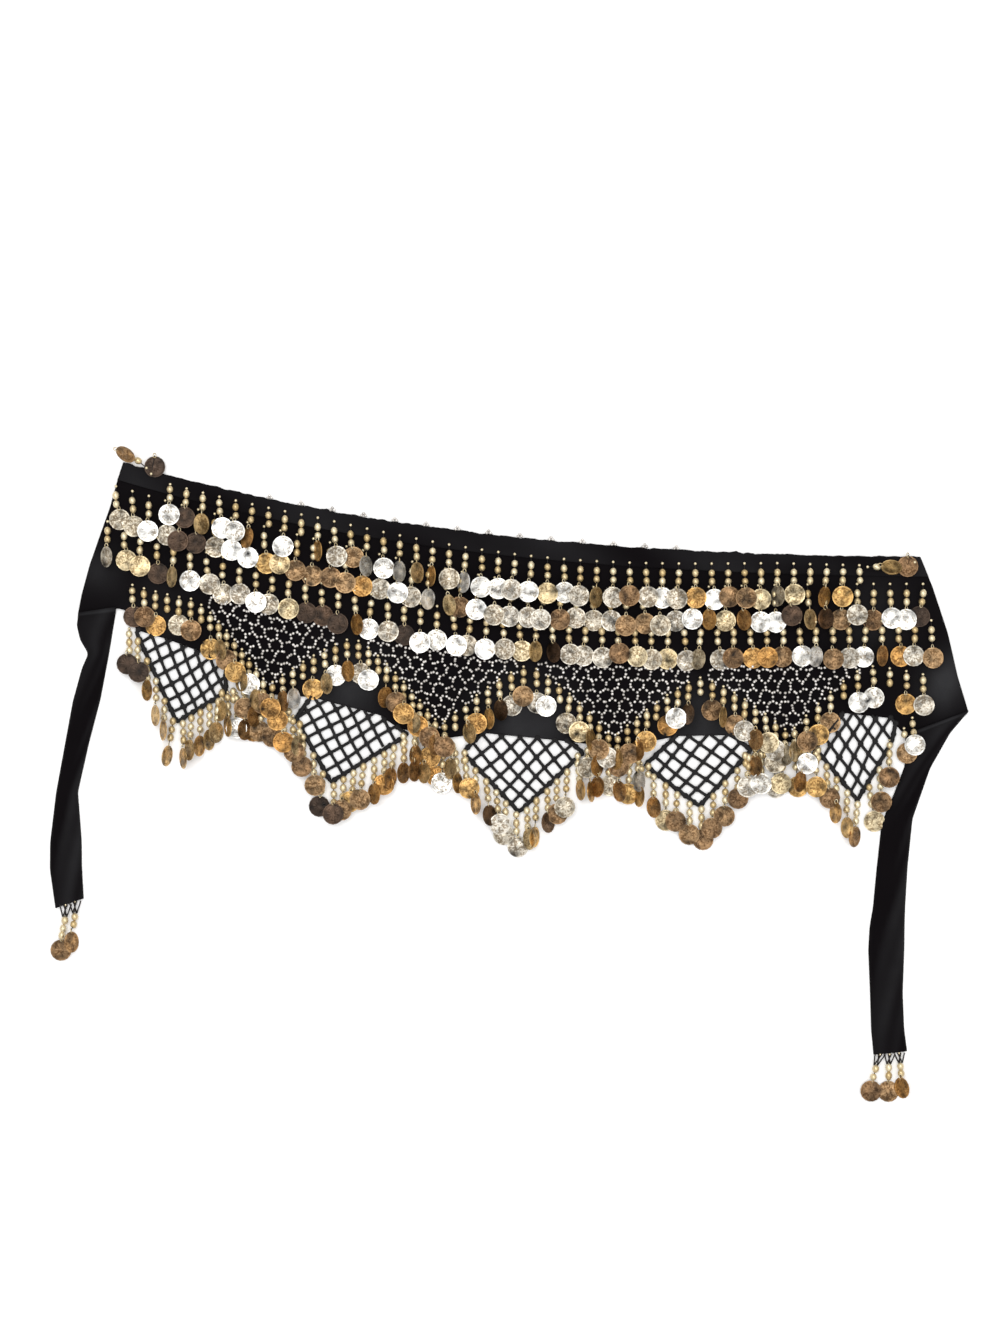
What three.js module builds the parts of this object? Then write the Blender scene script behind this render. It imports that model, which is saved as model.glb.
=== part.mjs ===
// Belly dance hip scarf, laid out flat with its face up. Millimetres, +Z up.
// +X runs along the scarf from its left tie to its right tie, and +Y points to the waist edge.
// Everything rests on the plane z = 0: the cloth, the nets and the hem's fringe lie on the
// surface, and the coin rows, the beadwork and the edge fringe lie on the cloth.
import * as THREE from 'three';

// Driving dimensions.
const CLOTH = 2.0; // velvet with its backing
const WAISTBAND = { depth: 15, thickness: 2.6 };
const SEAM = 0.3; // gap between pieces that meet or lie on each other
const NET_WALL = 1.5;
const COIN_RADIUS = 9;
const COIN_PITCH = 14;
const FRINGE_HEIGHT = 7; // beads and leaning coins of one fringe, lying down
const BEADWORK = { wall: 1.2, rowClearance: 3, borderClearance: 3 };
const HEM_REACH = 31; // hem to the centres of the hem fringe's coins
const EDGE_REACH = 21; // border to the centres of the edge fringe's coins
const CURVE_STEP = 15;
const ON_CLOTH = CLOTH + SEAM;

// The waist edge, a shallow curve that falls from left to right: y as a cubic in x.
const WAIST = { height: 89, tilt: -0.11, bow: 2.17e-4, skew: -1.5e-7, left: -320, right: 357 };

// The panel's two ends: [y, x] from the waist edge down to the tie's seam.
const LEFT_END = [
  [151.3, -320],
  [112, -331.5],
  [64, -348.5],
  [38, -355.5],
  [22, -358.5],
];
const RIGHT_END = [
  [70.6, 357],
  [45, 367.5],
  [7, 380],
  [-30, 388.5],
  [-61, 397.8],
];

// The panel's cut lower edge, [x, y] from the left tie's seam to the right one's. The four low
// places are the points of the zigzag, and each net hangs from the stretch between two of them.
const CLOTH_EDGE = [
  [-325.5, 27],
  [-318.8, 25.5],
  [-308.6, 8.5],
  [-280.5, 0],
  [-244.8, -13.6],
  [-197, -46],
  [-160, -48.5],
  [-102, -63.8],
  [-86.7, -74.8],
  [-47, -83.5],
  [-13.6, -79],
  [57, -86],
  [99.5, -91.8],
  [150.5, -81.6],
  [195.5, -80.8],
  [249, -87],
  [292, -62],
  [331.5, -66.3],
  [344, -80.8],
];

// Beaded border of the zigzag, [x, y]: low points and crests in turn.
const BORDER = [
  [-316, 44],
  [-262, 31],
  [-197, -42.5],
  [-125, -2.6],
  [-51, -76.5],
  [24, -25.5],
  [96, -87],
  [171, -35.7],
  [246, -83],
  [313, -26],
  [363, -34],
];
const CREST_SHARPNESS = 1.3;

// Where the beadwork fills each point: its reach in x.
const BEADWORK_SPANS = [
  { from: -243, to: -137 },
  { from: -108, to: 12 },
  { from: 38, to: 158 },
  { from: 184, to: 301 },
];

// The nets: where their top is worked onto the cloth, and their three free corners as [x, y].
const NETS = [
  { from: -307, to: -233, left: [-308.6, 6], tip: [-274.6, -69.7], right: [-232.9, -44.2] },
  { from: -160, to: -87, left: [-173.4, -66.3], tip: [-143.7, -120.7], right: [-79, -80.8] },
  { from: -14, to: 57, left: [-31.5, -95.2], tip: [16.2, -146.2], right: [70.6, -95.2] },
  { from: 150.5, to: 196, left: [123.3, -106.3], tip: [169.2, -141.1], right: [213.4, -93.5] },
  { from: 292, to: 331, left: [267.8, -91.8], tip: [303.5, -136], right: [325, -101] },
];

// Where the hem's fringe begins and ends, [x, y].
const HEM_START = [-319, 12];
const HEM_END = [335, -74];

// Coin rows from the waist down. A row's coins hang at a depth under the waist edge that
// swells by sag around the middle.
const COIN_ROWS = [
  { first: -280, last: 305, depth: 33, sag: 11.5, middle: 40, spread: 200 },
  { first: -326, last: 359, depth: 52, sag: 15, middle: 40, spread: 170 },
  { first: -333, last: 366, depth: 81.5, sag: 15.5, middle: 0, spread: 250 },
];

// The ties, doubled velvet: one row for each cross section from the seam to the tassel end.
// [left x, left y, right x, right y, thickness, fold from 0 (left) to 1 (right), fold height]
const TIE_LEFT = [
  [-358.2, 21.6, -325.8, 26.4, 2.2, 0.3, 0.2],
  [-359.8, 13, -328.4, 12, 2.4, 0.4, 1.2],
  [-356.8, 0, -330.4, -0.5, 2.6, 0.55, 1.6],
  [-349.8, -11.5, -332, -10, 3, 0.5, 1.2],
  [-355.3, -24, -334.4, -23, 2.8, 0.5, 0.6],
  [-363, -52, -339.5, -50, 2.6, 0.6, 0.4],
  [-369.8, -89, -349.3, -87.5, 2.6, 0.5, 0.6],
  [-377.2, -129.5, -358.7, -129.2, 2.8, 0.4, 0.8],
  [-382.3, -172, -355.6, -169, 2.6, 0.4, 0.6],
  [-382.5, -195, -355.3, -192, 2.6, 0.5, 0.4],
  [-377.7, -228.7, -353.8, -220.2, 2.4, 0.5, 0.2],
];
const TIE_RIGHT = [
  [344.3, -81.2, 397.4, -61.5, 2, 0.5, 0.1],
  [344, -107, 382.5, -79, 2, 0.5, 0.1],
  [336, -128, 365.5, -109, 2.2, 0.5, 0.4],
  [324.3, -155.6, 350.5, -152, 2.4, 0.5, 0.8],
  [320, -195, 346.3, -193, 2.4, 0.6, 1],
  [317, -227, 344.3, -226, 2.6, 0.8, 1.2],
  [314.1, -244, 343.8, -243, 2.8, 0.6, 1.4],
  [313, -263.5, 343.6, -262, 2.8, 0.5, 1.4],
  [314.5, -300, 342.2, -299, 2.8, 0.5, 1.2],
  [315.4, -331, 343.4, -330, 2.6, 0.5, 0.8],
  [317.5, -353, 346, -350, 2.4, 0.5, 0.2],
];
const EDGE_ROUNDING = 0.07;

// Outlines of the small free groups of beads and coins, [x, y].
const CORNER_COINS_LEFT = [
  [-327, 153.5],
  [-322, 163.5],
  [-311, 164],
  [-298, 157.5],
  [-284, 153],
  [-285, 142],
  [-297, 139.5],
  [-311, 145],
  [-323, 149],
];
const CORNER_COINS_RIGHT = [
  [309, 69],
  [326, 70.5],
  [352, 70],
  [358, 62],
  [351, 54.5],
  [330, 54],
  [310, 58],
];
const END_FRINGE_RIGHT = [
  [342, -67],
  [357, -67],
  [359, -85],
  [357, -97],
  [345, -105],
  [338.5, -100],
  [340, -84],
];
const TASSEL_LEFT = [
  [-377.6, -229.4],
  [-354.2, -221],
  [-355, -250],
  [-356, -265],
  [-366, -270],
  [-374, -274],
  [-383, -268],
  [-382, -250],
];
const TASSEL_RIGHT = [
  [317.8, -353.5],
  [345.8, -350.6],
  [348, -366],
  [349.5, -388],
  [338, -394],
  [319, -394.5],
  [307.5, -391],
  [306.5, -376],
];

const velvet = new THREE.MeshStandardMaterial({ color: 0x1a191c, roughness: 0.9, metalness: 0 });
const netCord = new THREE.MeshStandardMaterial({ color: 0x141416, roughness: 0.8, metalness: 0 });
const seedBeads = new THREE.MeshStandardMaterial({ color: 0xa8a298, roughness: 0.3, metalness: 0.6 });
const coins = new THREE.MeshStandardMaterial({ color: 0xb08a4c, roughness: 0.35, metalness: 0.9 });

const scarf = new THREE.Group();

function addPiece(name, geometry, material) {
  const piece = new THREE.Mesh(geometry, material);
  piece.name = name;
  scarf.add(piece);
}

// A wall of the given thickness on a closed outline, with its underside at height z.
function wall(outline, thickness, z) {
  const shape = new THREE.Shape(outline.map(([x, y]) => new THREE.Vector2(x, y)));
  const geometry = new THREE.ExtrudeGeometry(shape, { depth: thickness, bevelEnabled: false });
  return geometry.translate(0, 0, z);
}

// The value beside a key in a table of [key, value] rows whose keys rise or fall all the way.
function lookUp(rows, key) {
  const rising = rows[0][0] < rows.at(-1)[0];
  let index = rows.findIndex(([rowKey]) => (rising ? rowKey > key : rowKey < key));
  if (index === -1) {
    index = rows.length - 1;
  }
  index = Math.max(index, 1);
  const [key0, value0] = rows[index - 1];
  const [key1, value1] = rows[index];
  const share = THREE.MathUtils.clamp((key - key0) / (key1 - key0), 0, 1);
  return THREE.MathUtils.lerp(value0, value1, share);
}

// Evenly spaced values from one end to the other, both included.
function evenSteps(from, to, step) {
  const count = Math.max(1, Math.round((to - from) / step));
  return Array.from({ length: count + 1 }, (_, index) => from + ((to - from) * index) / count);
}

function waistY(x) {
  return WAIST.height + x * (WAIST.tilt + x * (WAIST.bow + x * WAIST.skew));
}

// The line at a depth under the waist edge, from end to end of the scarf.
function lineAtDepth(depth) {
  const left = lookUp(LEFT_END, waistY(WAIST.left) - depth);
  const right = lookUp(RIGHT_END, waistY(WAIST.right) - depth);
  return evenSteps(left, right, CURVE_STEP).map((x) => [x, waistY(x) - depth]);
}

// The border between two neighbouring low points is an arch with a rounded crest.
function borderY(x) {
  const next = BORDER.findIndex(([pointX], index) => index > 0 && pointX >= x);
  const right = next === -1 ? BORDER.length - 1 : next;
  const rightIsCrest = right % 2 === 1;
  const crest = BORDER[rightIsCrest ? right : right - 1];
  const low = BORDER[rightIsCrest ? right - 1 : right];
  const share = Math.min(1, Math.abs((x - crest[0]) / (low[0] - crest[0])));
  return crest[1] + (low[1] - crest[1]) * share ** CREST_SHARPNESS;
}

// The hem: the free edges of the nets, joined under the panel's points.
function hemLine() {
  const clearance = 2;
  const points = [HEM_START];
  NETS.forEach((net, index) => {
    points.push(net.left, net.tip, net.right);
    const low = BORDER[2 * index + 2];
    if (index < NETS.length - 1) {
      points.push([low[0], lookUp(CLOTH_EDGE, low[0]) - clearance]);
    }
  });
  points.push(HEM_END);
  return points;
}
const HEM = hemLine();

// The lower outline of a line of hanging coins, from the last coin back to the first.
function scallopedEdge(centres) {
  const samples = [0.42, 0.15, -0.15, -0.42];
  const outline = [];
  for (const [x, y] of centres.toReversed()) {
    for (const share of samples) {
      const across = share * COIN_PITCH;
      outline.push([x + across, y - Math.sqrt(COIN_RADIUS ** 2 - across ** 2)]);
    }
  }
  return outline;
}

// Centres of coins that hang side by side along y = height(x).
function coinCentres(from, to, height) {
  const half = COIN_PITCH / 2;
  return evenSteps(from + half, to - half, COIN_PITCH).map((x) => [x, height(x)]);
}

// The outline of a strip of fringe from its upper line to the scalloped edge of its coins.
function fringe(top, coinY) {
  const [from] = top[0];
  const [to] = top.at(-1);
  return [...top, ...scallopedEdge(coinCentres(from, to, coinY))];
}

function coinDepth(row, x) {
  return row.depth + row.sag * Math.exp(-(((x - row.middle) / row.spread) ** 2));
}

function addBand() {
  const top = lineAtDepth(0);
  const seam = lineAtDepth(WAISTBAND.depth);
  addPiece('waistband', wall([...top, ...seam.toReversed()], WAISTBAND.thickness, 0), velvet);
  const panelTop = lineAtDepth(WAISTBAND.depth + SEAM);
  const leftEnd = LEFT_END.slice(1).toReversed();
  const rightEnd = RIGHT_END.slice(1);
  const toPoint = ([y, x]) => [x, y];
  const outline = [
    ...panelTop,
    ...rightEnd.map(toPoint),
    ...CLOTH_EDGE.toReversed(),
    ...leftEnd.map(toPoint),
  ];
  addPiece('panel', wall(outline, CLOTH, 0), velvet);
}

function addNets() {
  NETS.forEach((net, index) => {
    const between = CLOTH_EDGE.filter(([x]) => x > net.from && x < net.to).map(([x]) => x);
    const top = [net.from, ...between, net.to].map((x) => [x, lookUp(CLOTH_EDGE, x) - 2 * SEAM]);
    const outline = [...top, net.right, net.tip, net.left];
    addPiece(`net_${index + 1}`, wall(outline, NET_WALL, 0), netCord);
  });
}

function addBeadwork() {
  const lastRow = COIN_ROWS.at(-1);
  const topY = (x) => waistY(x) - coinDepth(lastRow, x) - COIN_RADIUS - BEADWORK.rowClearance;
  const lowY = (x) => borderY(x) + BEADWORK.borderClearance;
  BEADWORK_SPANS.forEach(({ from, to }, index) => {
    const steps = evenSteps(from, to, CURVE_STEP / 2);
    const top = steps.map((x) => [x, topY(x)]);
    const low = steps.toReversed().map((x) => [x, lowY(x)]);
    addPiece(`beadwork_${index + 1}`, wall([...top, ...low], BEADWORK.wall, ON_CLOTH), seedBeads);
  });
}

// A coin row starts under the coins of the row above it, the first one at the waistband.
function addCoinRows() {
  const half = COIN_PITCH / 2;
  const clearance = 1;
  COIN_ROWS.forEach((row, index) => {
    const above = COIN_ROWS[index - 1];
    const topDepth = (x) => (above ? coinDepth(above, x) + COIN_RADIUS : WAISTBAND.depth);
    const topY = (x) => waistY(x) - topDepth(x) - clearance;
    const coinY = (x) => waistY(x) - coinDepth(row, x);
    const top = evenSteps(row.first - half, row.last + half, COIN_PITCH).map((x) => [x, topY(x)]);
    const outline = fringe(top, coinY);
    addPiece(`coin_row_${index + 1}`, wall(outline, FRINGE_HEIGHT, ON_CLOTH), coins);
  });
}

// The edge fringe hangs from the border over the cloth and the tops of the nets, and stops
// above the hem's own fringe.
function addEdgeFringe() {
  const clearance = 2;
  for (let arch = 1; arch < BORDER.length - 1; arch += 2) {
    const from = BORDER[arch - 1][0] + SEAM;
    const to = BORDER[arch + 1][0] - SEAM;
    const top = evenSteps(from, to, COIN_PITCH / 2).map((x) => [x, borderY(x) + 1]);
    const lowest = (x) => lookUp(HEM, x) + clearance + COIN_RADIUS;
    const coinY = (x) => Math.max(borderY(x) - EDGE_REACH, lowest(x));
    const outline = fringe(top, coinY);
    const name = `edge_fringe_${(arch + 1) / 2}`;
    addPiece(name, wall(outline, FRINGE_HEIGHT, ON_CLOTH), coins);
  }
}

// One run of hem fringe for each net, parted from the next run under the panel's points.
function addHemFringe() {
  const clearance = 1;
  const lows = BORDER.filter((_, index) => index % 2 === 0).map(([x]) => x);
  const ends = [HEM[0][0], ...lows.slice(1, -1), HEM.at(-1)[0]];
  const coinY = (x) => lookUp(HEM, x) - HEM_REACH;
  NETS.forEach((_, index) => {
    const from = ends[index] + SEAM;
    const to = ends[index + 1] - SEAM;
    const corners = HEM.map(([x]) => x).filter((x) => x > from && x < to);
    const top = [from, ...corners, to].map((x) => [x, lookUp(HEM, x) - clearance]);
    addPiece(`hem_fringe_${index + 1}`, wall(fringe(top, coinY), FRINGE_HEIGHT, 0), coins);
  });
}

// A strip of doubled cloth through its cross sections: flat underneath, rounded at both
// edges, with one soft fold standing along it.
function foldedStrip(rows) {
  const positions = [];
  for (const [leftX, leftY, rightX, rightY, thickness, fold, rise] of rows) {
    const section = [
      [0, 0],
      [1, 0],
      [1, thickness / 2],
      [1 - EDGE_ROUNDING, thickness],
      [fold + EDGE_ROUNDING, thickness],
      [fold, thickness + rise],
      [fold - 2 * EDGE_ROUNDING, thickness],
      [EDGE_ROUNDING, thickness],
      [0, thickness / 2],
    ];
    for (const [share, z] of section) {
      const x = THREE.MathUtils.lerp(leftX, rightX, share);
      const y = THREE.MathUtils.lerp(leftY, rightY, share);
      positions.push(x, y, z);
    }
  }
  const count = positions.length / 3 / rows.length;
  const indices = [];
  for (let row = 0; row < rows.length - 1; row += 1) {
    for (let side = 0; side < count; side += 1) {
      const a = row * count + side;
      const b = row * count + ((side + 1) % count);
      indices.push(a, b, a + count, b, b + count, a + count);
    }
  }
  const last = (rows.length - 1) * count;
  const profile = Array.from({ length: count }, (_, index) => {
    const start = 3 * index;
    return new THREE.Vector2(positions[start] - positions[0], positions[start + 2]);
  });
  for (const [a, b, c] of THREE.ShapeUtils.triangulateShape(profile, [])) {
    indices.push(a, c, b);
    indices.push(last + a, last + b, last + c);
  }
  const geometry = new THREE.BufferGeometry();
  geometry.setAttribute('position', new THREE.Float32BufferAttribute(positions, 3));
  geometry.setIndex(indices);
  geometry.computeVertexNormals();
  return geometry;
}

addBand();
addNets();
addBeadwork();
addCoinRows();
addEdgeFringe();
addHemFringe();
addPiece('tie_left', foldedStrip(TIE_LEFT), velvet);
addPiece('tie_right', foldedStrip(TIE_RIGHT), velvet);
addPiece('corner_coins_left', wall(CORNER_COINS_LEFT, FRINGE_HEIGHT, WAISTBAND.thickness + SEAM), coins);
addPiece('corner_coins_right', wall(CORNER_COINS_RIGHT, FRINGE_HEIGHT, WAISTBAND.thickness + SEAM), coins);
addPiece('end_fringe_right', wall(END_FRINGE_RIGHT, FRINGE_HEIGHT, ON_CLOTH + SEAM), coins);
addPiece('tassel_left', wall(TASSEL_LEFT, FRINGE_HEIGHT, 0), coins);
addPiece('tassel_right', wall(TASSEL_RIGHT, FRINGE_HEIGHT, 0), coins);

export default scarf;
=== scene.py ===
"""Belly dance hip scarf laid out flat, face up: velvet, nets, beadwork and coin fringes.

Tables and sizes are in millimetres in the row frame: +X along the scarf, +Y to the waist, +Z up.
Meshes are written in metres.
"""

import logging
import math
from dataclasses import dataclass, field
from enum import Enum

import bpy
import numpy as np
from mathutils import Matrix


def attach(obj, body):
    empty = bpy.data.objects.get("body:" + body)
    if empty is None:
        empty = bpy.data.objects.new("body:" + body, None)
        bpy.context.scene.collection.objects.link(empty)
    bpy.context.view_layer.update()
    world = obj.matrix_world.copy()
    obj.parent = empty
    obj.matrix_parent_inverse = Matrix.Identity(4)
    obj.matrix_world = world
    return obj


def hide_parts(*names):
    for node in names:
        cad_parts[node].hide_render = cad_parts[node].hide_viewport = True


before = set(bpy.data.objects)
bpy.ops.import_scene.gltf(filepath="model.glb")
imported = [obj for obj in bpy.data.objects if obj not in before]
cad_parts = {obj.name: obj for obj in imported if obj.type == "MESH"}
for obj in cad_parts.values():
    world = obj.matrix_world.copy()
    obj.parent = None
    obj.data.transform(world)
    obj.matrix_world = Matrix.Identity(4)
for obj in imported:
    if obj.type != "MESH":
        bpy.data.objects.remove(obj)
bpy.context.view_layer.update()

log = logging.getLogger("hip_scarf")
MM = 0.001
SEED = 4127
Point = tuple[float, float]
Curve = list[Point]

# Driving sizes.
CLOTH_TOP = 2.0
BAND_DEPTH = 15.0
SEAM = 0.3
COIN_RADIUS = 9.0
BEAD_RADIUS = 2.95
BEAD_LENGTH = 6.8
SEED_RADIUS = 1.45
# From where a stalk hangs to its coin's middle, in the rows, round the points and on the hem.
ROW_REACH = 21.5
EDGE_REACH = 21.5
HEM_REACH = 31.0
SHORTEST_REACH = 17.5
# How far a coin round the points stays above the hem.
HEM_CLEARANCE = 11
# Distances of a stalk's beads below where it hangs.
PAIR = [0.0, 7.3]
HEM_BEADS = [4.5, 11.7, 18.6]
CROWD_BEADS = [2.0, 8.5]

# The waist edge: its height at x = 0, slope, bow and skew, and the x of its two ends.
WAIST = (89.0, -0.11, 2.17e-4, -1.5e-7)
WAIST_ENDS = (-320, 357)
# How steeply an arch of the border leaves its crest.
CREST_ROUNDING = 1.3
# The panel's two ends, as pairs of y and x.
LEFT_END: Curve = [(151.3, -320), (112, -331.5), (64, -348.5), (38, -355.5), (22, -358.5)]
RIGHT_END: Curve = [(70.6, 357), (45, 367.5), (7, 380), (-30, 388.5), (-61, 397.8)]
# Edges along the scarf, as pairs of x and y: the cloth's, the beaded border's and the hem's.
CLOTH_EDGE: Curve = [
    (-325.5, 27), (-318.8, 25.5), (-308.6, 8.5), (-280.5, 0), (-244.8, -13.6), (-197, -46),
    (-160, -48.5), (-102, -63.8), (-86.7, -74.8), (-47, -83.5), (-13.6, -79), (57, -86),
    (99.5, -91.8), (150.5, -81.6), (195.5, -80.8), (249, -87), (292, -62), (331.5, -66.3),
    (344, -80.8),
]
BORDER: Curve = [
    (-316, 44), (-262, 31), (-197, -42.5), (-125, -2.6), (-51, -76.5), (24, -25.5),
    (96, -87), (171, -35.7), (246, -83), (313, -26), (363, -34),
]
HEM: Curve = [
    (-319, 12), (-308.6, 6), (-274.6, -69.7), (-232.9, -44.2), (-197, -48), (-173.4, -66.3),
    (-143.7, -120.7), (-79, -80.8), (-51, -84.7), (-31.5, -95.2), (16.2, -146.2), (70.6, -95.2),
    (96, -93.3), (123.3, -106.3), (169.2, -141.1), (213.4, -93.5), (246, -88.6), (267.8, -91.8),
    (303.5, -136), (325, -101), (335, -74),
]


def look_up(rows: Curve, key: float) -> float:
    """Reads the value beside a key in a table whose keys rise or fall all the way.

    Args:
        rows: pairs of key and value.
        key: where to read.
    Returns:
        The value, held at the table's ends.
    """
    ordered = sorted(rows)
    return float(np.interp(key, [row[0] for row in ordered], [row[1] for row in ordered]))


def waist_y(x: float) -> float:
    """Returns the height of the waist edge at x."""
    height, slope, bow, skew = WAIST
    return height + x * (slope + x * (bow + skew * x))


def line_at_depth(depth: float, count: int) -> np.ndarray:
    """Follows the waist edge at a depth under it, from one end of the scarf to the other.

    Args:
        depth: distance below the waist edge.
        count: number of points.
    Returns:
        The points as rows of x and y.
    """
    ends = zip((LEFT_END, RIGHT_END), WAIST_ENDS)
    left, right = (look_up(end, waist_y(x) - depth) for end, x in ends)
    return np.array([(x, waist_y(x) - depth) for x in np.linspace(left, right, count)])


def border_y(x: float) -> float:
    """Follows the zigzag border, whose arches have rounded crests.

    Args:
        x: place along the scarf.
    Returns:
        The border's height there.
    """
    right = next((i for i, point in enumerate(BORDER) if i and point[0] >= x), len(BORDER) - 1)
    crest, low = (right, right - 1) if right % 2 else (right - 1, right)
    (crest_x, crest_y), (low_x, low_y) = BORDER[crest], BORDER[low]
    share = min(1.0, abs((x - crest_x) / (low_x - crest_x)))
    return crest_y + (low_y - crest_y) * share**CREST_ROUNDING


def resample(points: np.ndarray, count: int) -> np.ndarray:
    """Spaces points evenly along a polyline.

    Args:
        points: the polyline, two or more columns.
        count: number of points wanted.
    Returns:
        The evenly spaced points, both ends included.
    """
    points = np.asarray(points, float)
    steps = np.linalg.norm(np.diff(points, axis=0), axis=1)
    length = np.concatenate([[0.0], np.cumsum(steps)])
    wanted = np.linspace(0, length[-1], count)
    return np.stack([np.interp(wanted, length, column) for column in points.T], axis=1)


def length_of(points: np.ndarray) -> float:
    """Returns the length of a polyline."""
    return float(np.linalg.norm(np.diff(np.asarray(points, float), axis=0), axis=1).sum())


def turn(swing: float, pitch: float, roll: float) -> np.ndarray:
    """Builds the rotation of a hanging part.

    Args:
        swing: turn about Z, in degrees.
        pitch: tip about the local X axis, in degrees.
        roll: turn about the local hanging axis, in degrees.
    Returns:
        A 3 by 3 rotation.
    """
    a, b, c = (math.radians(angle) for angle in (swing, pitch, roll))
    about_z = np.array([[math.cos(a), -math.sin(a), 0], [math.sin(a), math.cos(a), 0], [0, 0, 1]])
    about_x = np.array([[1, 0, 0], [0, math.cos(b), -math.sin(b)], [0, math.sin(b), math.cos(b)]])
    about_y = np.array([[math.cos(c), 0, math.sin(c)], [0, 1, 0], [-math.sin(c), 0, math.cos(c)]])
    return about_z @ about_x @ about_y


class PlatingAndHighlight(Enum):
    """Finish of one coin, by its letter in the rows below, as a place on the tone ramp; the silver and white
    end of the ramp is partly painted highlight.
    """

    DARK = ("d", 0.04)
    BRONZE = ("b", 0.24)
    GOLD = ("g", 0.42)
    CHAMPAGNE = ("c", 0.62)
    SPECKLED = ("s", 0.80)
    WHITE = ("w", 0.97)
    EDGE = ("t", 0.34)

    @classmethod
    def tone(cls, letter: str) -> float:
        """Returns the tone of a letter, in either case."""
        return next(item.value[1] for item in cls if item.value[0] == letter.lower())


class Lay(Enum):
    """How a coin lies: its turn about the thread it hangs on, in degrees."""

    FLAT = 0.0
    TURNED = 54.0
    ON_EDGE = 66.0

    @classmethod
    def of(cls, letter: str) -> "Lay":
        """Reads the lay that a letter states: T on edge, a capital turned, else flat.

        Args:
            letter: the coin's letter in a run.
        Returns:
            The lay.
        """
        if letter == "T":
            return cls.ON_EDGE
        return cls.TURNED if letter.isupper() else cls.FLAT


# ---------------------------------------------------------------- materials


class Sketch:
    """Short calls that add nodes to one node tree."""

    def __init__(self, tree: bpy.types.NodeTree) -> None:
        """Keeps the tree that nodes are added to."""
        self.tree = tree

    def node(self, kind: str, inputs: dict | None = None, **settings: object) -> bpy.types.Node:
        """Adds a node.

        Args:
            kind: the node's type name.
            inputs: values or sockets for its inputs, by name or index.
            **settings: properties set on the node.
        Returns:
            The new node.
        """
        node = self.tree.nodes.new(kind)
        for name, value in settings.items():
            setattr(node, name, value)
        for key, value in (inputs or {}).items():
            if isinstance(value, bpy.types.NodeSocket):
                self.tree.links.new(value, node.inputs[key])
            else:
                node.inputs[key].default_value = value
        return node

    def math(self, operation: str, *values: object) -> bpy.types.NodeSocket:
        """Adds a math node and returns its output."""
        return self.node("ShaderNodeMath", dict(enumerate(values)), operation=operation).outputs[0]

    def link(self, source: bpy.types.NodeSocket, target: bpy.types.NodeSocket) -> None:
        """Links two sockets."""
        self.tree.links.new(source, target)

    def noise(self, vector: object, scale: object, detail: float = 3.0) -> bpy.types.NodeSocket:
        """Adds a noise texture and returns its value."""
        inputs = {"Vector": vector, "Scale": scale, "Detail": detail}
        return self.node("ShaderNodeTexNoise", inputs).outputs[0]

    def attribute(self, name: str) -> bpy.types.NodeSocket:
        """Adds a reader of a mesh attribute and returns its value."""
        return self.node("ShaderNodeAttribute", attribute_name=name).outputs["Fac"]

    def effect(self, tree: bpy.types.NodeTree, vector: object, **inputs: object) -> bpy.types.Node:
        """Places a shared effect on a vector, with its own values, and returns its node."""
        return self.node("ShaderNodeGroup", {"Vector": vector, **inputs}, node_tree=tree)

    def bump(self, shader: bpy.types.Node, height: object, strength: float, distance: float) -> None:
        """Gives a shader its relief from a height."""
        inputs = {"Height": height, "Strength": strength, "Distance": distance}
        self.link(self.node("ShaderNodeBump", inputs).outputs[0], shader.inputs["Normal"])

    def ramp(self, value: object, stops: list[tuple[float, tuple]]) -> bpy.types.NodeSocket:
        """Adds a colour ramp.

        Args:
            value: the socket that drives it.
            stops: pairs of position and linear colour.
        Returns:
            Its colour output.
        """
        node = self.node("ShaderNodeValToRGB", {0: value})
        for index, (position, colour) in enumerate(stops):
            elements = node.color_ramp.elements
            stop = elements[index] if index < 2 else elements.new(position)
            stop.position = position
            stop.color = (*colour, 1.0)
        return node.outputs[0]

    def mix(self, share: object, first: object, second: object, **settings: str) -> bpy.types.NodeSocket:
        """Adds a colour mix and returns its result."""
        inputs = {0: share, 6: first, 7: second}
        return self.node("ShaderNodeMix", inputs, data_type="RGBA", **settings).outputs[2]

    def multiply(self, first: object, second: object) -> bpy.types.NodeSocket:
        """Adds the product of two colours and returns it."""
        return self.mix(1.0, first, second, blend_type="MULTIPLY")


def new_group(name: str, inputs: dict[str, float], outputs: dict[str, str]) -> tuple:
    """Starts a shader node group.

    Args:
        name: the group's name.
        inputs: float inputs with their defaults; "Vector" becomes a vector.
        outputs: output names with their socket types.
    Returns:
        The group, a Sketch of it, its input node and its output node.
    """
    group = bpy.data.node_groups.new(name, "ShaderNodeTree")
    for label, value in inputs.items():
        kind = "NodeSocketVector" if label == "Vector" else "NodeSocketFloat"
        socket = group.interface.new_socket(label, in_out="INPUT", socket_type=kind)
        if label != "Vector":
            socket.default_value = value
    for label, kind in outputs.items():
        group.interface.new_socket(label, in_out="OUTPUT", socket_type=kind)
    sketch = Sketch(group)
    return group, sketch, sketch.node("NodeGroupInput"), sketch.node("NodeGroupOutput")


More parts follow.
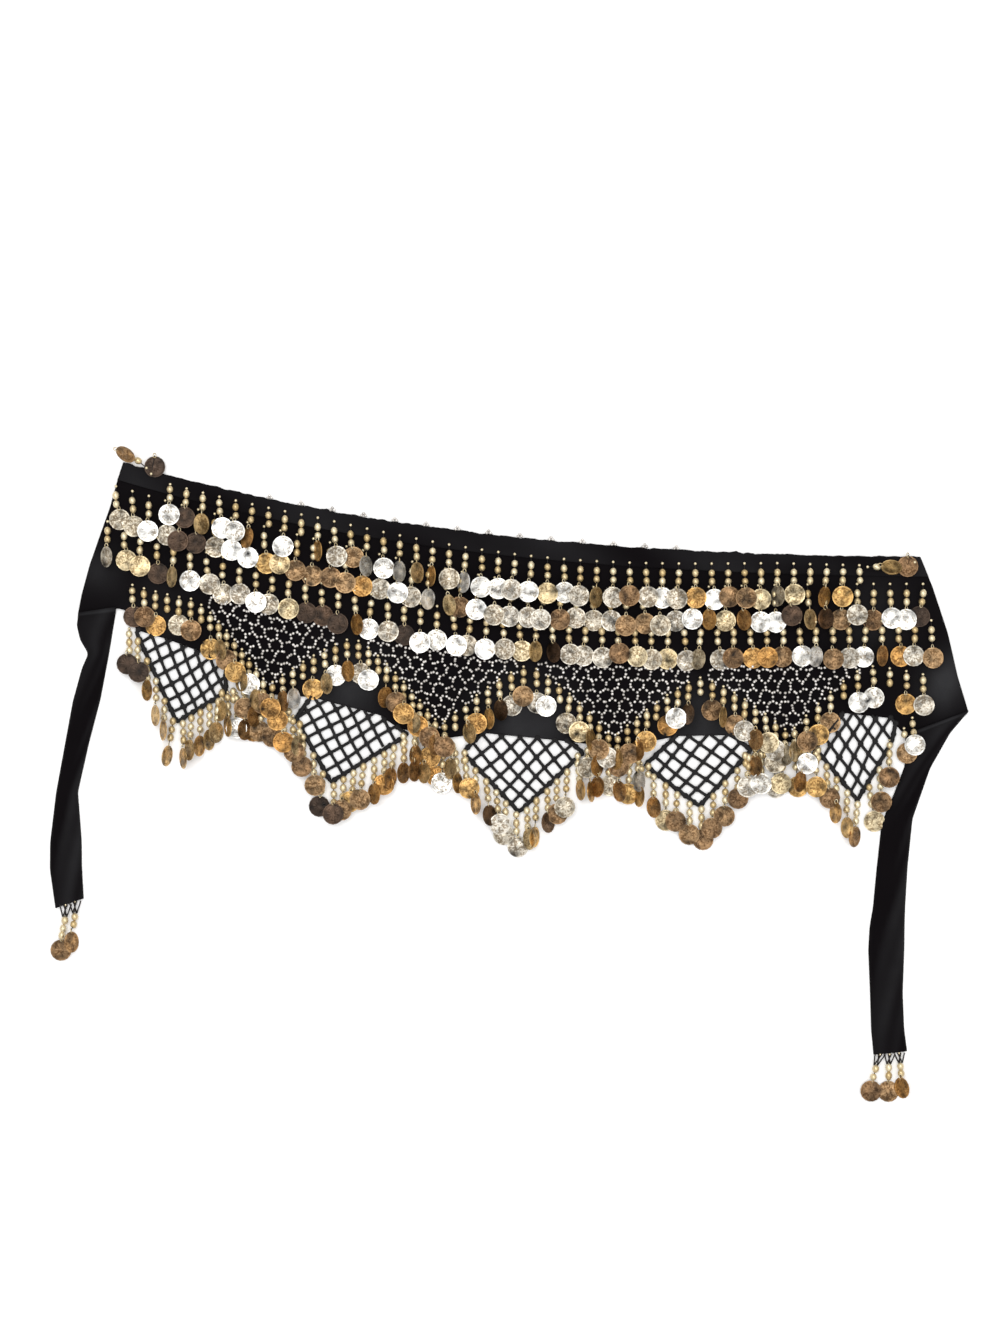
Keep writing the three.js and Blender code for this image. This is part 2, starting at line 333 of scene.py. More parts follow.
def make_pile_group() -> bpy.types.NodeTree:
    """Builds the pile effect of brushed velvet: soft mottling and a fine raised nap.

    Returns:
        The node group, with outputs Shade and Height.
    """
    group, sketch, entry, leave = new_group(
        "pile", {"Vector": 0.0, "Mottle": 28.0, "Grain": 900.0},
        {"Shade": "NodeSocketFloat", "Height": "NodeSocketFloat"},
    )
    vector = entry.outputs["Vector"]
    broad = sketch.noise(vector, entry.outputs["Mottle"])
    fine = sketch.noise(vector, entry.outputs["Grain"], 2.0)
    contrast = sketch.math("MULTIPLY_ADD", broad, 2.2, -0.6)
    shade = sketch.math("MULTIPLY_ADD", fine, 0.35, sketch.math("MULTIPLY", contrast, 0.8))
    held = sketch.math("MINIMUM", sketch.math("MAXIMUM", shade, 0.0), 1.0)
    sketch.link(held, leave.inputs["Shade"])
    sketch.link(sketch.math("MULTIPLY_ADD", broad, 0.6, fine), leave.inputs["Height"])
    return group


# Radii of the stamped rosette, as shares of the coin's width.
HUB = 0.08
PETALS = (0.12, 0.30)
DOTS = (0.33, 0.38)
RIM = 0.41


def make_rosette_group() -> bpy.types.NodeTree:
    """Builds the stamped relief of a coin: a raised rim, a ring of petals and a hub.

    Returns:
        The node group, with output Height.
    """
    group, sketch, entry, leave = new_group(
        "rosette", {"Vector": 0.0, "Petals": 12.0}, {"Height": "NodeSocketFloat"}
    )
    parts = sketch.node("ShaderNodeSeparateXYZ", {0: entry.outputs["Vector"]})
    u, v = (sketch.math("SUBTRACT", parts.outputs[axis], 0.5) for axis in (0, 1))
    squares = [sketch.math("MULTIPLY", side, side) for side in (u, v)]
    radius = sketch.math("SQRT", sketch.math("ADD", *squares))

    def between(inner: float, outer: float) -> bpy.types.NodeSocket:
        """Returns a mask of the ring between two radii."""
        outside = sketch.math("GREATER_THAN", radius, inner)
        return sketch.math("MULTIPLY", outside, sketch.math("LESS_THAN", radius, outer))

    angle = sketch.math("MULTIPLY", sketch.math("ARCTAN2", v, u), entry.outputs["Petals"])
    petal = sketch.math("MULTIPLY_ADD", sketch.math("COSINE", angle), 0.5, 0.5)
    petals = sketch.math("MULTIPLY", petal, between(*PETALS))
    hub = sketch.math("LESS_THAN", radius, HUB)
    rim = sketch.math("GREATER_THAN", radius, RIM)
    twice = sketch.math("MULTIPLY", angle, 2.0)
    dots = sketch.math("GREATER_THAN", sketch.math("COSINE", twice), 0.2)
    total = sketch.math("ADD", sketch.math("ADD", petals, hub), rim)
    dotted = sketch.math("MULTIPLY", between(*DOTS), 0.6)
    sketch.link(sketch.math("MULTIPLY_ADD", dots, dotted, total), leave.inputs["Height"])
    return group


def make_wear_group() -> bpy.types.NodeTree:
    """Builds the wear of thin plating: speckles whose amount follows an input.

    Returns:
        The node group, with output Mask.
    """
    group, sketch, entry, leave = new_group(
        "plating_wear", {"Vector": 0.0, "Scale": 700.0, "Amount": 0.5, "Recess": 0.0},
        {"Mask": "NodeSocketFloat"},
    )
    vector = entry.outputs["Vector"]
    speck = sketch.noise(vector, entry.outputs["Scale"], 4.0)
    patch = sketch.noise(vector, 150.0, 2.0)
    both = sketch.math("ADD", sketch.math("MULTIPLY_ADD", patch, 0.5, speck), entry.outputs["Recess"])
    start = sketch.math("MULTIPLY_ADD", entry.outputs["Amount"], -0.24, 0.90)
    full = sketch.math("ADD", start, 0.20)
    inputs = {"Value": both, "From Min": start, "From Max": full}
    mask = sketch.node("ShaderNodeMapRange", inputs, clamp=True)
    sketch.link(mask.outputs[0], leave.inputs["Mask"])
    return group


class Groups:
    """The shared effects, each built once."""

    def __init__(self) -> None:
        """Builds the three groups."""
        self.pile = make_pile_group()
        self.rosette = make_rosette_group()
        self.wear = make_wear_group()


def start_material(name: str) -> tuple[bpy.types.Material, Sketch, bpy.types.Node, bpy.types.Node]:
    """Starts a material.

    Args:
        name: the finish's name.
    Returns:
        The material, a Sketch of its tree, its Principled shader and a Texture Coordinate node.
    """
    material = bpy.data.materials.new(name)
    material.use_nodes = True
    sketch = Sketch(material.node_tree)
    shader = material.node_tree.nodes["Principled BSDF"]
    return material, sketch, shader, sketch.node("ShaderNodeTexCoord")


@dataclass(frozen=True)
class VelvetFinish:
    """Black velvet whose nap lies dark or brushed to charcoal; the charcoal is partly painted sheen."""

    name: str
    dark: tuple[float, float, float] = (0.0030, 0.0022, 0.0028)
    brushed_sheen: tuple[float, float, float] = (0.026, 0.026, 0.028)
    sheen: float = 0.02
    bump: float = 0.35

    def build(self, groups: Groups) -> bpy.types.Material:
        """Builds the material.

        Args:
            groups: the shared effects.
        Returns:
            The velvet.
        """
        material, sketch, shader, places = start_material(self.name)
        pile = sketch.effect(groups.pile, places.outputs["Object"])
        shade = sketch.math("MULTIPLY_ADD", pile.outputs["Shade"], 0.7, 0.5)
        # Painted sheen, with the brushed nap's own tone: the attribute lifts the dark colour towards
        # charcoal.
        amount = sketch.math("MULTIPLY", sketch.attribute("nap"), shade)
        base = sketch.mix(amount, (*self.dark, 1), (*self.brushed_sheen, 1))
        sketch.link(base, shader.inputs["Base Color"])
        rough = sketch.math("MULTIPLY_ADD", pile.outputs["Shade"], 0.12, 0.82)
        sketch.link(rough, shader.inputs["Roughness"])
        sketch.bump(shader, pile.outputs["Height"], self.bump, 0.0006)
        shader.inputs["Specular IOR Level"].default_value = 0.04
        shader.inputs["Sheen Weight"].default_value = self.sheen
        shader.inputs["Sheen Roughness"].default_value = 0.5
        return material


# The coins' plating from dark to white, its bright end partly painted highlight: place on the tone ramp, and
# linear colour.
PLATING_AND_HIGHLIGHT_COLOURS = [
    (0.0, (0.026, 0.017, 0.012)),
    (0.12, (0.085, 0.050, 0.030)),
    (0.20, (0.18, 0.105, 0.050)),
    (0.28, (0.30, 0.190, 0.095)),
    (0.38, (0.42, 0.215, 0.060)),
    (0.46, (0.52, 0.330, 0.120)),
    (0.62, (0.56, 0.46, 0.28)),
    (0.80, (0.47, 0.43, 0.36)),
    (0.90, (0.62, 0.60, 0.55)),
    (1.0, (0.80, 0.79, 0.76)),
]
# How worn that plating is: place on the tone ramp, and amount.
PLATING_WEAR = [
    (0.0, 0.4), (0.24, 0.9), (0.42, 0.85), (0.62, 0.85), (0.80, 1.0), (0.90, 0.75), (1.0, 0.55),
]


@dataclass(frozen=True)
class CoinFinish:
    """Thin plating on stamped coins, from tarnished dark to bright white by each coin's tone, the bright
    white partly painted highlight.
    """

    name: str = "coin_plating"
    roughness: float = 0.34
    metal: float = 0.75
    speckle_scale: float = 520.0
    grime: tuple[float, float, float] = (0.40, 0.35, 0.29)
    dent_scale: float = 130.0
    # The dents' painted shade and highlight, multiplied into the colour: contrast and base.
    dent_shade: tuple[float, float] = (3.4, -0.75)
    dent_depth: float = 3.0

    def build(self, groups: Groups) -> bpy.types.Material:
        """Builds the material.

        Args:
            groups: the shared effects.
        Returns:
            The plating.
        """
        material, sketch, shader, places = start_material(self.name)
        solid = places.outputs["Object"]
        tone = sketch.attribute("tone")
        plate = sketch.ramp(tone, PLATING_AND_HIGHLIGHT_COLOURS)
        amount = sketch.ramp(tone, [(place, (level,) * 3) for place, level in PLATING_WEAR])
        rosette = sketch.effect(groups.rosette, places.outputs["UV"]).outputs[0]
        recess = sketch.math("MULTIPLY_ADD", rosette, -0.10, 0.05)
        values = {"Scale": self.speckle_scale, "Amount": amount, "Recess": recess}
        wear = sketch.effect(groups.wear, solid, **values).outputs[0]
        dents = sketch.noise(solid, self.dent_scale, 2.0)
        # Painted shade and highlight: broad noise darkens and lightens the plating as light would on dents.
        shade = sketch.multiply(plate, sketch.math("MULTIPLY_ADD", dents, *self.dent_shade))
        deep = sketch.multiply(shade, (*self.grime, 1))
        sketch.link(sketch.mix(wear, shade, deep), shader.inputs["Base Color"])
        relief = sketch.math("MULTIPLY_ADD", wear, -0.25, rosette)
        sketch.bump(shader, sketch.math("MULTIPLY_ADD", dents, self.dent_depth, relief), 0.55, 0.00035)
        rough = sketch.math("MULTIPLY_ADD", wear, 0.25, self.roughness)
        sketch.link(rough, shader.inputs["Roughness"])
        shader.inputs["Metallic"].default_value = self.metal
        return material


@dataclass(frozen=True)
class BeadFinish:
    """Glossy plated beads with small differences from bead to bead."""

    name: str
    light: tuple[float, float, float]
    deep: tuple[float, float, float]
    roughness: float = 0.24
    metal: float = 0.65
    grime: tuple[float, float, float] = (0.16, 0.11, 0.06)

    def build(self, groups: Groups) -> bpy.types.Material:
        """Builds the material.

        Args:
            groups: the shared effects.
        Returns:
            The bead finish.
        """
        material, sketch, shader, places = start_material(self.name)
        wear = sketch.effect(groups.wear, places.outputs["Object"], Scale=900.0, Amount=0.35).outputs[0]
        plate = sketch.mix(sketch.attribute("tone"), (*self.deep, 1), (*self.light, 1))
        dull = sketch.mix(0.5, plate, (*self.grime, 1))
        sketch.link(sketch.mix(wear, plate, dull), shader.inputs["Base Color"])
        rough = sketch.math("MULTIPLY_ADD", wear, 0.3, self.roughness)
        sketch.link(rough, shader.inputs["Roughness"])
        sketch.bump(shader, wear, 0.2, 0.0001)
        shader.inputs["Metallic"].default_value = self.metal
        return material


@dataclass(frozen=True)
class CordFinish:
    """Matt black twisted cord or thread."""

    name: str
    colour: tuple[float, float, float] = (0.0065, 0.0062, 0.0066)
    twist: float = 1400.0

    def build(self, groups: Groups) -> bpy.types.Material:
        """Builds the material.

        Args:
            groups: the shared effects.
        Returns:
            The cord.
        """
        material, sketch, shader, places = start_material(self.name)
        pile = sketch.effect(groups.pile, places.outputs["Object"], Grain=self.twist, Mottle=90.0)
        light = tuple(4.0 * value for value in self.colour)
        shade = sketch.math("MULTIPLY", pile.outputs["Shade"], 0.5)
        sketch.link(sketch.mix(shade, (*self.colour, 1), (*light, 1)), shader.inputs["Base Color"])
        rough = sketch.math("MULTIPLY_ADD", pile.outputs["Shade"], 0.1, 0.75)
        sketch.link(rough, shader.inputs["Roughness"])
        sketch.bump(shader, pile.outputs["Height"], 0.6, 0.0003)
        shader.inputs["Specular IOR Level"].default_value = 0.2
        return material


# ---------------------------------------------------------------- meshes


@dataclass
class Template:
    """A small part modelled once and copied many times, in millimetres about its own middle."""

    corners: np.ndarray
    faces: list[tuple[int, ...]]
    uv: np.ndarray

    @classmethod
    def capture(cls, piece: bpy.types.Object, across: float) -> "Template":
        """Takes over a modelled object and removes it from the scene.

        Args:
            piece: the object, modelled in millimetres.
            across: the width that the UV square covers.
        Returns:
            The template.
        """
        mesh = piece.data
        corners = np.array([vertex.co for vertex in mesh.vertices], float)
        faces = [tuple(polygon.vertices) for polygon in mesh.polygons]
        loops = [corner for face in faces for corner in face]
        uv = corners[loops, :2] / across + 0.5
        bpy.data.objects.remove(piece)
        bpy.data.meshes.remove(mesh)
        return cls(corners, faces, uv)


def select_faces(piece: bpy.types.Object, chosen: object) -> None:
    """Selects the faces that a test on their centre and normal picks, and enters edit mode.

    Args:
        piece: the active mesh object.
        chosen: a function of a polygon that returns True for the wanted ones.
    """
    bpy.ops.object.mode_set(mode="EDIT")
    bpy.ops.mesh.select_mode(type="FACE")
    bpy.ops.mesh.select_all(action="DESELECT")
    bpy.ops.object.mode_set(mode="OBJECT")
    for polygon in piece.data.polygons:
        polygon.select = bool(chosen(polygon))
    bpy.ops.object.mode_set(mode="EDIT")


@dataclass(frozen=True)
class CoinShape:
    """A thin stamped coin, hanging along +Y, with a raised rim on its face."""

    sides: int = 16
    thickness: float = 0.6
    rim: float = 0.9
    slope: float = 0.5
    sink: float = 0.25
    margin: float = 4.6
    hub_rise: float = 0.2

    def model(self) -> Template:
        """Models the coin.

        Returns:
            Its template.
        """
        bpy.ops.object.select_all(action="DESELECT")
        bpy.ops.mesh.primitive_cylinder_add(
            vertices=self.sides, radius=COIN_RADIUS, depth=self.thickness
        )
        coin = bpy.context.object
        select_faces(coin, lambda polygon: polygon.normal.z > 0.5)
        bpy.ops.mesh.inset(thickness=self.rim)
        bpy.ops.mesh.inset(thickness=self.slope)
        bpy.ops.transform.translate(value=(0, 0, -self.sink))
        bpy.ops.mesh.inset(thickness=self.margin)
        bpy.ops.transform.translate(value=(0, 0, self.hub_rise))
        bpy.ops.object.mode_set(mode="OBJECT")
        return Template.capture(coin, 2 * COIN_RADIUS)


def model_bead(radius: float, segments: int, rings: int, stretch: float = 0.9) -> Template:
    """Models a bead whose two threaded ends face along Y.

    Args:
        radius: the bead's radius.
        segments: faces around it.
        rings: faces from end to end.
        stretch: its length over its width.
    Returns:
        The bead's template.
    """
    bpy.ops.object.select_all(action="DESELECT")
    bpy.ops.mesh.primitive_uv_sphere_add(segments=segments, ring_count=rings, radius=radius)
    bead = bpy.context.object
    bpy.ops.object.mode_set(mode="EDIT")
    bpy.ops.mesh.select_all(action="SELECT")
    bpy.ops.transform.resize(value=(1.0, 1.0, stretch))
    bpy.ops.transform.rotate(value=math.pi / 2, orient_axis="X", center_override=(0, 0, 0))
    bpy.ops.object.mode_set(mode="OBJECT")
    return Template.capture(bead, 2 * radius)


@dataclass(frozen=True)
class RingShape:
    """The small wire ring through a coin's hole, longer than it is wide."""

    radius: float = 1.7
    wire: float = 0.4
    stretch: tuple[float, float, float] = (0.85, 1.15, 1.0)
    across: float = 4.0

    def model(self) -> Template:
        """Models the ring.

        Returns:
            Its template.
        """
        bpy.ops.object.select_all(action="DESELECT")
        bpy.ops.mesh.primitive_torus_add(
            major_segments=8, minor_segments=4, major_radius=self.radius, minor_radius=self.wire
        )
        ring = bpy.context.object
        bpy.ops.object.mode_set(mode="EDIT")
        bpy.ops.mesh.select_all(action="SELECT")
        bpy.ops.transform.resize(value=self.stretch)
        bpy.ops.object.mode_set(mode="OBJECT")
        return Template.capture(ring, self.across)


def make_piece(name: str, corners: np.ndarray, faces: list, material: bpy.types.Material,
               smooth: bool = True, **attributes: np.ndarray) -> bpy.types.Object:
    """Makes a mesh object from points in millimetres.

    Args:
        name: the object's name.
        corners: its vertices, as rows of x, y and z.
        faces: its faces.
        material: its finish.
        smooth: whether its faces are shaded smooth.
        **attributes: a number for each vertex, by the attribute's name.
    Returns:
        The object, at the origin.
    """
    mesh = bpy.data.meshes.new(name)
    mesh.from_pydata((corners * MM).tolist(), [], faces)
    for label, values in attributes.items():
        layer = mesh.attributes.new(label, "FLOAT", "POINT")
        layer.data.foreach_set("value", values.astype(np.float32).ravel())
    mesh.polygons.foreach_set("use_smooth", [smooth] * len(mesh.polygons))
    mesh.materials.append(material)
    piece = bpy.data.objects.new(name, mesh)
    bpy.context.scene.collection.objects.link(piece)
    return piece


class JoinedMesh:
    """Many small parts gathered into one mesh."""

    def __init__(self) -> None:
        """Starts with nothing."""
        self.corners: list[np.ndarray] = []
        self.faces: list[tuple[int, ...]] = []
        self.uv: list[np.ndarray] = []
        self.tones: list[np.ndarray] = []
        self.count = 0

    def add(self, corners: np.ndarray, faces: list, uv: np.ndarray, tone: float) -> None:
        """Adds one part.

        Args:
            corners: its vertices.
            faces: its faces, by its own vertex numbers.
            uv: a place for each face corner.
            tone: its tone, the same all over it.
        """
        self.corners.append(corners)
        self.faces.extend(tuple(self.count + corner for corner in face) for face in faces)
        self.uv.append(uv)
        self.tones.append(np.full(len(corners), tone))
        self.count += len(corners)

    def stamp(self, shape: Template, place: tuple, rotation: np.ndarray | None = None,
              tone: float = 0.5) -> None:
        """Copies a template.

        Args:
            shape: the template.
            place: where its middle goes.
            rotation: its 3 by 3 rotation, if it is turned.
            tone: the copy's tone.
        """
        corners = shape.corners if rotation is None else shape.corners @ rotation.T
        self.add(corners + np.array(place, float), shape.faces, shape.uv, tone)

    def tube(self, path: np.ndarray, radius: float, sides: int = 4) -> None:
        """Adds a round thread along a path, with closed ends.

        Args:
            path: rows of x, y and z.
            radius: the thread's radius.
            sides: faces around it.
        """
        path = np.asarray(path, float)
        ahead = np.gradient(path, axis=0)
        ahead /= np.linalg.norm(ahead, axis=1)[:, None] + 1e-9
        side = np.cross(ahead, (0.0, 0.0, 1.0))
        width = np.linalg.norm(side, axis=1)[:, None]
        side = np.where(width > 0.05, side / (width + 1e-9), (1.0, 0.0, 0.0))
        rise = np.cross(side, ahead)
        angles = np.arange(sides) * 2 * math.pi / sides
        rings = [point + radius * (math.cos(a) * s + math.sin(a) * r)
                 for point, s, r in zip(path, side, rise) for a in angles]
        faces = []
        for row in range(len(path) - 1):
            for i in range(sides):
                a, b = row * sides + i, row * sides + (i + 1) % sides
                faces.append((a, b, b + sides, a + sides))
        faces.append(tuple(reversed(range(sides))))
        faces.append(tuple(range((len(path) - 1) * sides, len(path) * sides)))
        loops = sum(len(face) for face in faces)
        self.add(np.array(rings), faces, np.zeros((loops, 2)), 0.5)

    def build(self, name: str, material: bpy.types.Material, smooth: bool) -> bpy.types.Object:
        """Makes the object.

        Args:
            name: its name.
            material: its finish.
            smooth: whether its faces are shaded smooth.
        Returns:
            The object, at the origin.
        """
        corners = np.concatenate(self.corners)
        tones = np.concatenate(self.tones)
        piece = make_piece(name, corners, self.faces, material, smooth, tone=tones)
        layer = piece.data.uv_layers.new(name="uv")
        layer.data.foreach_set("uv", np.concatenate(self.uv).astype(np.float32).ravel())
        return piece


def settle(piece: bpy.types.Object, slot: str, *nodes: str) -> bpy.types.Object:
    """Hands a finished piece to the frame.

    Args:
        piece: the piece.
        slot: the record's material slot; not used.
        *nodes: the CAD nodes it stands for.
    Returns:
        The same piece.
    """
    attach(piece, "root")
    if nodes:
        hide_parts(*nodes)
    log.info("%s: %d faces", piece.name, len(piece.data.polygons))
    return piece


def build_sheet(name: str, grid: np.ndarray, nap: np.ndarray, thickness: float,
                material: bpy.types.Material) -> bpy.types.Object:
    """Makes a cloth sheet from a grid of points on its face and gives it its thickness.

    Args:
        name: the piece's name.
        grid: points as rows by columns by xyz.
        nap: how brushed each point is, with its painted sheen, rows by columns.
        thickness: the cloth's thickness.
        material: its finish.
    Returns:
        The sheet.
    """
    rows, columns = grid.shape[:2]
    index = np.arange(rows * columns).reshape(rows, columns)
    quads = np.stack([index[1:, :-1], index[1:, 1:], index[:-1, 1:], index[:-1, :-1]], axis=-1)
    faces = quads.reshape(-1, 4).tolist()
    piece = make_piece(name, grid.reshape(-1, 3), faces, material, nap=nap)
    bpy.ops.object.select_all(action="DESELECT")
    bpy.context.view_layer.objects.active = piece
    piece.select_set(True)
    wall = piece.modifiers.new("thickness", "SOLIDIFY")
    wall.thickness = thickness * MM
    wall.offset = -1.0
    bpy.ops.object.modifier_apply(modifier=wall.name)
    return piece


def ripple(x: np.ndarray, y: np.ndarray, waves: list[tuple[float, float, float, float]]) -> np.ndarray:
    """Adds up soft waves over the cloth.

    Args:
        x: places along the scarf.
        y: places across it.
        waves: rows of wavelength, heading in degrees, phase and height.
    Returns:
        The height at each place.
    """
    total = np.zeros_like(x)
    for length, heading, phase, height in waves:
        angle = math.radians(heading)
        along = x * math.cos(angle) + y * math.sin(angle)
        total += height * np.sin(2 * math.pi * along / length + phase)
    return total


def ridge(x: np.ndarray, y: np.ndarray, crease: tuple[float, ...]) -> np.ndarray:
    """Raises a soft crease along a line.

    Args:
        x: places along the scarf.
        y: places across it.
        crease: start x, start y, end x, end y, width and height.
    Returns:
        The height at each place.
    """
    x0, y0, x1, y1, width, height = crease
    dx, dy = x1 - x0, y1 - y0
    share = np.clip(((x - x0) * dx + (y - y0) * dy) / (dx * dx + dy * dy), 0, 1)
    distance = np.hypot(x - x0 - share * dx, y - y0 - share * dy)
    return height * np.exp(-((distance / width) ** 2))


# ---------------------------------------------------------------- cloth


@dataclass
class Panel:
    """The velvet panel between the waistband and the nets, with a turned hem."""

    columns: int = 300
    rows: int = 64
    thickness: float = 1.5
    face: float = CLOTH_TOP - 0.15
    hem_rise: float = 0.35
    hem_share: float = 0.03
    base_nap_and_sheen: float = 0.03
    top_points: int = 120
    # Soft waves: wavelength, heading in degrees, phase and height.
    waves: list[tuple[float, float, float, float]] = field(default_factory=lambda: [
        (95, 20, 0.4, 0.12), (61, -35, 1.9, 0.09), (37, 70, 0.8, 0.06),
    ])
    # Brushed patches, lighter partly by painted sheen: x, y, radius and strength.
    nap_and_sheen_patches: list[tuple[float, float, float, float]] = field(default_factory=lambda: [
        (-128, -40, 30, 0.8), (21, -70, 34, 0.9), (170, -72, 30, 0.8), (376, -41, 18, 0.9),
        (320, 20, 30, 0.35), (-340, 60, 18, 0.5), (385, -20, 16, 0.5), (-290, 25, 26, 0.3),
    ])
    # Soft creases: start x and y, end x and y, width, height.
    creases: list[tuple[float, ...]] = field(default_factory=lambda: [
        (-352, 30, -343, 52, 5, 0.8), (-340, 120, -340, 80, 6, 0.4), (382, 0, 388, -50, 5, 0.8),
        (345, -40, 392, -52, 5, 0.7), (-140, -30, -110, -52, 9, 0.5), (0, -62, 48, -74, 9, 0.5),
        (150, -66, 192, -74, 8, 0.5),
    ])

    def surface(self) -> tuple[np.ndarray, np.ndarray]:
        """Fills the panel's outline with a grid of points.

        Returns:
            The points, and how brushed each one is, with its painted sheen.
        """
        top = resample(line_at_depth(BAND_DEPTH + SEAM, self.top_points), self.columns)
        left, right = ([(x, y) for y, x in end[1:]] for end in (LEFT_END, RIGHT_END))
        bottom = resample(np.array([left[-1], *CLOTH_EDGE, right[-1]]), self.columns)
        left = resample(np.array([top[0], *left]), self.rows)
        right = resample(np.array([top[-1], *right]), self.rows)
        s = np.linspace(0, 1, self.columns)[None, :, None]
        t = np.linspace(0, 1, self.rows)[:, None, None]
        flat = (1 - t) * top[None] + t * bottom[None] + (1 - s) * left[:, None] + s * right[:, None]
        flat -= (1 - t) * ((1 - s) * top[0] + s * top[-1]) + t * ((1 - s) * bottom[0] + s * bottom[-1])
        x, y = flat[..., 0], flat[..., 1]
        z = self.face + ripple(x, y, self.waves)
        for crease in self.creases:
            z += ridge(x, y, crease)
        z += np.exp(-(((1 - t[..., 0]) / self.hem_share) ** 2)) * self.hem_rise
        nap = np.full(x.shape, self.base_nap_and_sheen)
        for px, py, radius, strength in self.nap_and_sheen_patches:
            nap += strength * np.exp(-(np.hypot(x - px, y - py) / radius) ** 2)
        return np.dstack([x, y, z]), np.clip(nap, 0, 1)

    def cut_area(self) -> float:
        """Measures the panel's outline.

        Returns:
            Its area in square metres.
        """
        grid, _ = self.surface()
        ring = np.concatenate([grid[0], grid[1:, -1], grid[-1, ::-1], grid[::-1, 0]])
        x, y = ring[:, 0], ring[:, 1]
        return float(abs(np.dot(x, np.roll(y, -1)) - np.dot(y, np.roll(x, -1))) / 2 * MM * MM)

    def build(self, velvet: bpy.types.Material) -> bpy.types.Object:
        """Builds the panel and dresses it.

        Args:
            velvet: its finish.
        Returns:
            The panel.
        """
        grid, nap = self.surface()
        return settle(build_sheet("velvet_panel", grid, nap, self.thickness, velvet), "velvet", "panel")


@dataclass
class Waistband:
    """The folded casing along the waist edge, softly puffed, with a slightly rough fold."""

    columns: int = 330
    rows: int = 12
    thickness: float = 0.8
    rest: float = 1.25
    puff: float = 0.9
    roughness: float = 0.65
    overlap: float = 1.6
    clearance: float = 0.2
    # Soft waves of its puckers and of its painted sheen: wavelength, heading in degrees, phase and height.
    puckers: list[tuple[float, float, float, float]] = field(default_factory=lambda: [
        (13, 8, 0.2, 0.10), (31, -12, 1.4, 0.16), (8.5, 15, 0.7, 0.05),
    ])
    sheen_waves: list[tuple[float, float, float, float]] = field(default_factory=lambda: [
        (170, 5, 0.3, 0.5), (47, 60, 1.1, 0.3),
    ])

    def build(self, velvet: bpy.types.Material) -> bpy.types.Object:
        """Builds the band and dresses it.

        Args:
            velvet: its finish.
        Returns:
            The band.
        """
        rng = np.random.default_rng(SEED + 1)
        top = line_at_depth(0, self.columns)
        seam = line_at_depth(BAND_DEPTH + self.overlap, self.columns)
        rough = rng.normal(0, self.roughness, self.columns + 2)
        top[:, 1] += np.convolve(rough, np.ones(3) / 3, "valid")
        t = np.linspace(0, 1, self.rows)[:, None, None]
        flat = (1 - t) * top[None] + t * seam[None]
        x, y = flat[..., 0], flat[..., 1]
        crown = np.sin(math.pi * np.clip(t[..., 0], 0.03, 0.97)) ** 0.5
        over = CLOTH_TOP + self.thickness + self.clearance - self.rest
        lap = over * np.clip((t[..., 0] - 0.75) / 0.2, 0, 1)
        z = self.rest + (self.puff + ripple(x, y, self.puckers)) * crown * (1 - lap / 2) + lap
        # Painted sheen: the band is lighter and darker in soft waves.
        nap = np.clip(0.22 + 0.25 * ripple(x, y, self.sheen_waves), 0, 1)
        sheet = build_sheet("waistband_casing", np.dstack([x, y, z]), nap, self.thickness, velvet)
        return settle(sheet, "velvet", "waistband")


